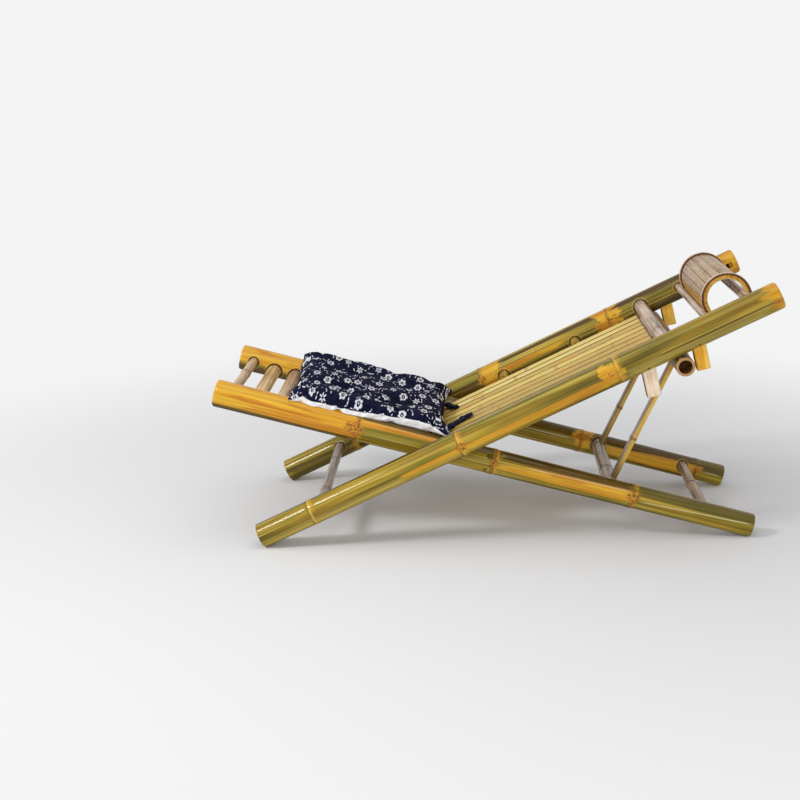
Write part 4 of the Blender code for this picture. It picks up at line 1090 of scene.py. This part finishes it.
strut_skin = strut_finish()
strut_start = foot_bar_radius - strut_root
strut_end = prop_rise.length - top_radius + strut_root
for side, facing in sides:
    strut = block("prop_stay_" + side, Matrix.Translation((strut_start, 0, 0)),
                  (0.002, strut_width, strut_thickness))
    mark(strut, "FACE", lambda face: face.normal.x > 0.9)
    reach, last_swell = strut_start + 0.001, 1
    for next_reach, swell in ((0.055, 1), (0.114, 1), (0.121, 1.10), (0.125, 1.18), (0.129, 1.06),
                              (0.138, 1), (0.190, 1), (0.240, 1), (0.290, 1), (strut_end, 1)):
        bpy.ops.mesh.extrude_region_move(TRANSFORM_OT_translate={"value": (next_reach - reach, 0, 0)})
        growth = swell / last_swell
        bpy.ops.transform.resize(value=(1, growth ** 0.5, growth), center_override=(next_reach, 0, 0))
        reach, last_swell = next_reach, swell
    bpy.ops.object.mode_set(mode="OBJECT")
    soften(strut, 0.0032, 4, 50)
    set_in_place(strut, prop_place @ Matrix.Translation((0, facing * strut_y, 0)))
    hand_over(strut, strut_skin, "prop", "prop_strut_" + side)

# Cushion: a thin pad of printed indigo cotton on a white cotton lining, sewn together round the edge. Four
# tufts and the edge's stitches draw it in, and its filling swells between them. It lies on rungs and rails.
cushion = new_object("cushion_pad", frame["nodes"]["seat_cushion"].data.copy())
pad_front = -0.377
pad_rear = 0.012
pad_half_width = 0.213
pad_edge = 0.024
pad_level = 0.061
tuft_share = 0.333
node_rise = 0.0018
seat_gap = 0.0003
axle_radius = 0.0155
with editing(cushion):
    bpy.ops.mesh.remove_doubles(threshold=0.00002)
    bpy.ops.mesh.normals_make_consistent(inside=False)
cushion.data.remesh_voxel_size = 0.005
bpy.ops.object.voxel_remesh()
to_seat = seat_place.inverted()
pad_middle = (pad_front + pad_rear) / 2
pad_half_length = (pad_rear - pad_front) / 2


def eased(value, low, high):
    """Eases from 0 at low to 1 at high."""
    share = min(max((value - low) / (high - low), 0), 1)
    return share * share * (3 - 2 * share)


def pad_rest(x, y):
    """Height of the pad's underside: on rungs and axle in the middle, over the rails at the sides."""
    rail_top = rail_head_radius + node_rise + seat_gap
    axle_share = eased(x, rung_reaches[-1], -2 * axle_radius)
    rung_top = rung_height + seat_gap + (axle_radius - rung_height) * axle_share
    rail_edge = rail_y - rail_head_radius
    return rung_top + (rail_top - rung_top) * eased(abs(y), rail_edge - 0.0165, rail_edge + 0.011)


held_corners = []
lining_shares = []
cloth_places = []
flat_places = []
for corner in cushion.data.vertices:
    spot = to_seat @ corner.co
    u = (spot.x - pad_middle) / pad_half_length
    v = spot.y / pad_half_width
    rise = (spot.z - pad_rest(spot.x, spot.y)) / pad_edge
    at_side = abs(v) > abs(u)
    side = u if at_side else v
    rim_share = max(abs(u), abs(v))
    strength = 1 if side < 0 or not at_side else 0.45
    stitch = strength * math.exp(-((abs(side) - tuft_share) / 0.05) ** 2)
    seam = 0.74 - 0.60 * eased(abs(side), 0.80, 1.0) if at_side and v < 0 else 0.06
    lining_shares.append((seam - rise) if rim_share > 0.8 else (1 if rise < 0.3 else -1))
    from_tuft = math.hypot((abs(u) - tuft_share) * pad_half_length, (abs(v) - tuft_share) * pad_half_width)
    rests = rise < 0.12 and rim_share < 0.97
    stitched = rim_share > 0.93 and (stitch > 0.4 or min(abs(u), abs(v)) > 0.90)
    if rests or stitched or from_tuft < 0.006:
        held_corners.append(corner.index)
    turned_down = max(0, 1 - rise) * pad_edge * eased(rim_share, 0.88, 0.96)
    cloth_places += (spot.x + (0 if at_side else math.copysign(turned_down, u)),
                     spot.y * 0.50 + (math.copysign(turned_down, v) if at_side else 0), 0)
    ear = eased(abs(u), 0.82, 1.0) * eased(abs(v), 0.82, 1.0)
    at_rim = eased(rim_share, 0.86, 0.98)
    pinch = stitch * at_rim
    rise_at_stitch = 0.012 * max(0, 1 - 1.3 * rise) - 0.016 * max(0, rise - 0.5)
    spot.z += pinch * rise_at_stitch
    if rise > 0.5:
        level_share = 0.75 * (1 - at_rim)
        spot.z += level_share * (pad_level - spot.z) - 0.007 * math.exp(-(from_tuft / 0.030) ** 2)
    spot.y -= math.copysign(0.004 * pinch, v) if at_side else 0
    spot.y += math.copysign(0.007 * ear, v)
    spot.x += 0.009 * ear if u > 0 else 0.013 * eased(-u, 0.55, 1.0) * eased(v, 0.7, -0.9)
    if v < 0:
        sag = eased(u, -1.0, -0.65) * eased(u, 0.75, -0.35) * eased(-v, 0.72, 1.0)
        spot.z -= 0.012 * sag + 0.007 * ear * eased(u, 0, -0.9)
        spot.y -= 0.009 * sag
    corner.co = seat_place @ spot
    flat_places.append(corner.co.copy())
held = cushion.vertex_groups.new(name="held")
held.add(held_corners, 1, "REPLACE")
lining = cushion.data.attributes.new("lining", "FLOAT", "POINT")
lining.data.foreach_set("value", lining_shares)
cloth_place = cushion.data.attributes.new("cloth_place", "FLOAT_VECTOR", "POINT")
cloth_place.data.foreach_set("vector", cloth_places)
filling = cushion.modifiers.new("filling", "CLOTH")
cotton = {"quality": 6, "mass": 0.25, "tension_stiffness": 14, "compression_stiffness": 6,
          "shear_stiffness": 4, "bending_stiffness": 0.15, "shrink_min": -0.06, "use_pressure": True,
          "uniform_pressure_force": 1.7, "vertex_group_mass": "held"}
for setting, value in cotton.items():
    setattr(filling.settings, setting, value)
filling.settings.effector_weights.gravity = 0
filling.collision_settings.use_collision = False
for step in range(1, 21):
    bpy.context.scene.frame_set(step)
pick(cushion)
bpy.ops.object.modifier_apply(modifier="filling")
bpy.context.scene.frame_set(1)
swell_limit = 0.0045
for corner, flat_place in zip(cushion.data.vertices, flat_places):
    swell = corner.co - flat_place
    if swell.length > swell_limit:
        corner.co = flat_place + swell * (swell_limit / swell.length)
smoother = cushion.modifiers.new("finer", "SUBSURF")
smoother.levels = 1
smoother.render_levels = 1
pick(cushion)
bpy.ops.object.modifier_apply(modifier="finer")
# The sagging near edge lies round the rail's crown and over its node.
for corner in cushion.data.vertices:
    spot = to_seat @ corner.co
    from_node = spot.x + rail_nodes["left"][2]
    rail_skin = rail_foot_radius + rail_slope * (rail_foot + spot.x) + 0.0004
    rail_skin += node_rise * math.exp(-(from_node / 0.012) ** 2)
    from_rail = Vector((0, spot.y + rail_y, spot.z))
    if from_rail.length < rail_skin:
        corner.co = seat_place @ (spot + from_rail * (rail_skin / from_rail.length - 1))


def calico_finish():
    """Indigo cotton printed with a scatter of white flowers, sprigs and leaves, over a white lining."""
    finish, shader, place = new_finish("indigo_calico")
    local = turned_to_frame(place, seat_tilt)
    flat = local.node("ShaderNodeAttribute", {"attribute_name": "cloth_place"}, {}, "Vector")

    def scattered(pitch, angle, loose):
        """One spot in each cell of a turned grid: the distance and bearing from it, and its own chance."""
        turned = flat.node("ShaderNodeMapping", {}, {"Vector": flat, "Rotation": (0, 0, angle),
                                                     "Scale": (1 / pitch, 1 / pitch, 1)})
        cell = turned.node("ShaderNodeVectorMath", {"operation": "FLOOR"}, {0: turned})
        chance = cell.node("ShaderNodeTexWhiteNoise", {"noise_dimensions": "2D"}, {"Vector": cell}, "Color")
        within = turned.node("ShaderNodeVectorMath", {"operation": "FRACTION"}, {0: turned})
        from_x = (within.axis(0) - 0.5 - (chance.axis(0) - 0.5) * loose) * pitch
        from_y = (within.axis(1) - 0.5 - (chance.axis(1) - 0.5) * loose) * pitch
        bearing = from_y.math("ARCTAN2", from_x) + chance.axis(2) * math.tau
        far = from_x.distance(from_y)
        other = cell.stretched(1, 1, 1, 7)
        own = cell.node("ShaderNodeTexWhiteNoise", {"noise_dimensions": "2D"}, {"Vector": other})
        return far, bearing, own

    def leaf_pair(far, bearing, reach, length, width):
        """Two leaves that point away from a spot."""
        ahead = (abs(far * bearing.math("COSINE")) - reach) / length
        aside = far * bearing.math("SINE") / width
        return (ahead * ahead + aside * aside).eased(1.25, 0.75)

    far, bearing, own = scattered(0.036, 0.35, 0.40)
    petals = abs((bearing * 3).math("COSINE"))
    outline = petals * 0.0028 + 0.0070
    ring = (far - outline).eased(0.0005, -0.0005) * far.eased(0.0036, 0.0046)
    ring = ring * (petals + far.eased(0.0074, 0.0058)).eased(0.20, 0.45)
    blossom = ring.highest(far.eased(0.0017, 0.0011))
    spray = strongest([leaf_pair(far, bearing + turned, 0.0052, 0.0035, 0.0016)
                       for turned in (0, 1.05, 2.1)])
    is_blossom = own.eased(0.20, 0.21)
    print_mask = is_blossom * blossom + (1 - is_blossom) * spray
    clear = far.eased(0.0115, 0.0125)
    leaf_far, leaf_bearing, leaf_own = scattered(0.0180, -0.5, 0.55)
    leaves = leaf_pair(leaf_far, leaf_bearing, 0.0034, 0.0028, 0.0014) * leaf_own.eased(0.46, 0.47)
    print_mask = print_mask.highest(leaves * clear)
    clear = clear * leaf_far.eased(0.0065, 0.0075)
    dash_far, dash_bearing, dash_own = scattered(0.0120, 0.9, 0.55)
    dashes = leaf_pair(dash_far, dash_bearing, 0.0008, 0.0025, 0.0010) * dash_own.eased(0.56, 0.57)
    print_mask = print_mask.highest(dashes * clear)
    worn = flat.noise(420, 420, 1)
    print_mask = print_mask * worn.eased(0.22, 0.36)
    threads_per_metre = 1250
    warp = (local.axis(0) * (threads_per_metre * math.tau)).math("SINE")
    weft = (local.axis(1) * (threads_per_metre * math.tau)).math("SINE")
    threads = warp * 0.5 + weft * 0.5
    dye = local.noise(60, 60, 60, detail=3)
    indigo = dye.ramp([(0.35, (0.0045, 0.0046, 0.016)), (0.65, (0.0110, 0.0115, 0.040))])
    colour = print_mask.between(indigo, (0.70, 0.70, 0.75))
    side = flat.node("ShaderNodeAttribute", {"attribute_name": "lining"}, {}, "Fac")
    below = side.eased(-0.05, 0.05)
    cotton = dye.ramp([(0.35, (0.82, 0.80, 0.82)), (0.65, (0.90, 0.89, 0.91))])
    colour = below.between(colour, cotton)
    crease = local.noise(95, 95, 95)
    seam = abs(side).eased(0.16, 0.02)
    folds = 0
    for tuft_u in (-tuft_share, tuft_share):
        for tuft_v in (-tuft_share, tuft_share):
            from_x = local.axis(0) - (pad_middle + tuft_u * pad_half_length)
            from_y = local.axis(1) - tuft_v * pad_half_width
            bearing = from_y.math("ARCTAN2", from_x) + crease * 1.5
            folds = (bearing * 9).math("SINE") * from_x.distance(from_y).eased(0.060, 0.006) + folds
    relief = threads * 0.08 + crease * 0.9 - seam * 0.6 + folds * 0.8
    lay_on(shader, {"Base Color": colour, "Roughness": 0.84 + worn * 0.14, "Specular IOR Level": 0.06,
                    "Normal": relief.bump(0.0024, 0.8)})
    return finish


calico = calico_finish()
hand_over(cushion, calico, "seat_frame", "seat_cushion")
pick(cushion)
bpy.ops.object.shade_smooth()
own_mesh(cushion)

# Ties: two strips of the cushion's cotton twisted into limp cords. They are sewn on at its rear corners and
# lie on the slats.
tie_width = 0.012
tie_height = 0.0066
tie_steps = 24
tie_routes = {
    "left": ((0.030, -0.112), (0.052, -0.094), (0.076, -0.082), (0.100, -0.075)),
    "right": ((0.030, 0.140), (0.036, 0.116), (0.044, 0.092), (0.056, 0.070)),
}


def tie_finish():
    """Indigo cotton gathered into a twist, with pale threads of the print here and there."""
    finish, shader, place = new_finish("tie_cotton")
    fold = place.noise(320, 320, 320)
    thread = place.noise(1800, 1800, 1800, detail=1)
    colour = fold.ramp([(0.35, (0.0040, 0.0042, 0.012)), (0.65, (0.0140, 0.0145, 0.038))])
    speck = (fold.eased(0.60, 0.64) * thread.eased(0.50, 0.60)) * 0.25
    colour = speck.between(colour, (0.48, 0.48, 0.52))
    lay_on(shader, {"Base Color": colour, "Roughness": 0.80 + thread * 0.12, "Specular IOR Level": 0.08,
                    "Normal": (fold * 0.7 + thread * 0.3).bump(0.0012, 0.8)})
    return finish


tie_cotton = tie_finish()
for side, route in tie_routes.items():
    bpy.ops.object.select_all(action="DESELECT")
    bpy.ops.curve.primitive_bezier_circle_add(radius=tie_width / 2)
    profile = bpy.context.object
    profile.scale = (1.32, 0.80, 1)
    pick(profile)
    bpy.ops.object.transform_apply(location=False, rotation=False, scale=True)
    stations = []
    for step in range(tie_steps + 1):
        share = step / tie_steps * (len(route) - 1)
        leg = min(int(share), len(route) - 2)
        part = share - leg
        before = Vector(route[max(leg - 1, 0)])
        here = Vector(route[leg])
        there = Vector(route[leg + 1])
        after = Vector(route[min(leg + 2, len(route) - 1)])
        bend = (2 * before - 5 * here + 4 * there - after) * part ** 2
        bend += (3 * here - before - 3 * there + after) * part ** 3
        flat_spot = 0.5 * (2 * here + (there - before) * part + bend)
        stations.append(back_place @ Vector((flat_spot.x, flat_spot.y, tie_height)))
    twist = bpy.data.curves.new("twisted_tie_" + side, "CURVE")
    twist.dimensions = "3D"
    twist.bevel_mode = "OBJECT"
    twist.bevel_object = profile
    twist.use_fill_caps = True
    strand = twist.splines.new("POLY")
    strand.points.add(len(stations) - 1)
    for index, (point, station) in enumerate(zip(strand.points, stations)):
        point.co = (*station, 1)
        point.tilt = 0.35 * math.sin(0.5 * index)
        point.radius = 1.04 + 0.17 * math.sin(1.3 * index + 0.6)
    tie = new_object("twisted_tie_" + side, twist)
    pick(tie)
    bpy.ops.object.convert(target="MESH")
    tie = bpy.context.object
    bpy.data.objects.remove(profile)
    hand_over(tie, tie_cotton, "back_frame", "cushion_tie_" + side)
    length = sum((there - here).length for here, there in zip(stations, stations[1:]))

# Camera at the photographer's place, with the lens that the poles' ends fit.
camera_data = bpy.data.cameras.new("camera")
camera_data.lens = 63
camera_data.sensor_width = 36
camera = new_object("camera", camera_data)
camera_yaw = 0.0499
camera_dip = 0.2418
camera_roll = -0.0197
camera_turn = (Matrix.Rotation(camera_yaw, 4, "Z") @ Matrix.Rotation(math.pi / 2 - camera_dip, 4, "X")
               @ Matrix.Rotation(camera_roll, 4, "Z"))
camera.matrix_world = Matrix.Translation((-0.05365, -3.4251, 1.1357)) @ camera_turn
bpy.context.scene.camera = camera

# Floor and light: white studio paper that runs into a white room, a soft key lamp from the upper left, a
# large weak lamp overhead and a wide fill from the front.
backdrop_white = (0.90, 0.90, 0.905, 1)


def in_view(shade):
    """1 on the rays that show the white room: from the camera, mirrored and passed through."""
    return strongest([shade.node("ShaderNodeLightPath", {}, {}, "Is %s Ray" % kind)
                      for kind in ("Camera", "Glossy", "Transmission")])


bpy.ops.object.select_all(action="DESELECT")
bpy.ops.mesh.primitive_plane_add(size=60)
floor = bpy.context.object
floor.name = "studio_floor"
paper, paper_shader, paper_place = new_finish("studio_paper")
lay_on(paper_shader, {"Base Color": (0.79, 0.79, 0.795, 1), "Roughness": 0.9, "Specular IOR Level": 0.1})
glow = paper_place.node("ShaderNodeEmission", {}, {"Color": backdrop_white, "Strength": 1})
away = paper_place.node("ShaderNodeVectorMath", {"operation": "LENGTH"}, {0: paper_place}, "Value")
paper_skin = Shade(paper.node_tree, paper_shader.outputs[0])
fading = away.eased(0.5, 2.3) * in_view(paper_place)
faded = paper_place.node("ShaderNodeMixShader", {}, {0: fading, 1: paper_skin, 2: glow})
faded.feed(paper.node_tree.nodes["Material Output"], "Surface")
floor.data.materials.append(paper)
world = bpy.data.worlds.new("studio")
bpy.context.scene.world = world
world.use_nodes = True
room = Shade(world.node_tree, None)
room_light = room.node("ShaderNodeBackground", {}, {"Color": (0.97, 0.98, 1.0, 1), "Strength": 0.50})
room_seen = room.node("ShaderNodeBackground", {}, {"Color": backdrop_white, "Strength": 1})
room_mix = room.node("ShaderNodeMixShader", {}, {0: in_view(room), 1: room_light, 2: room_seen})
room_mix.feed(world.node_tree.nodes["World Output"], "Surface")


def add_lamp(name, location, aim, width, depth, power):
    """A rectangular soft lamp turned towards a point."""
    lamp_data = bpy.data.lights.new(name, "AREA")
    lamp_data.shape = "RECTANGLE"
    lamp_data.size = width
    lamp_data.size_y = depth
    lamp_data.energy = power
    lamp = new_object(name, lamp_data)
    lamp.location = location
    lamp.rotation_euler = (Vector(aim) - Vector(location)).to_track_quat("-Z", "Y").to_euler()
    return lamp


add_lamp("key_lamp", (-2.5, -1.5, 2.5), (0, 0, 0.2), 0.8, 0.6, 46)
add_lamp("overhead_lamp", (0.2, -0.4, 3.2), (0, 0, 0.2), 3.0, 2.0, 18)
fill_lamp = add_lamp("fill_lamp", (-0.6, -4.2, 1.7), (0, 0, 0.2), 3.0, 2.0, 58)
fill_lamp.visible_glossy = False
bpy.context.scene.view_settings.view_transform = "Standard"
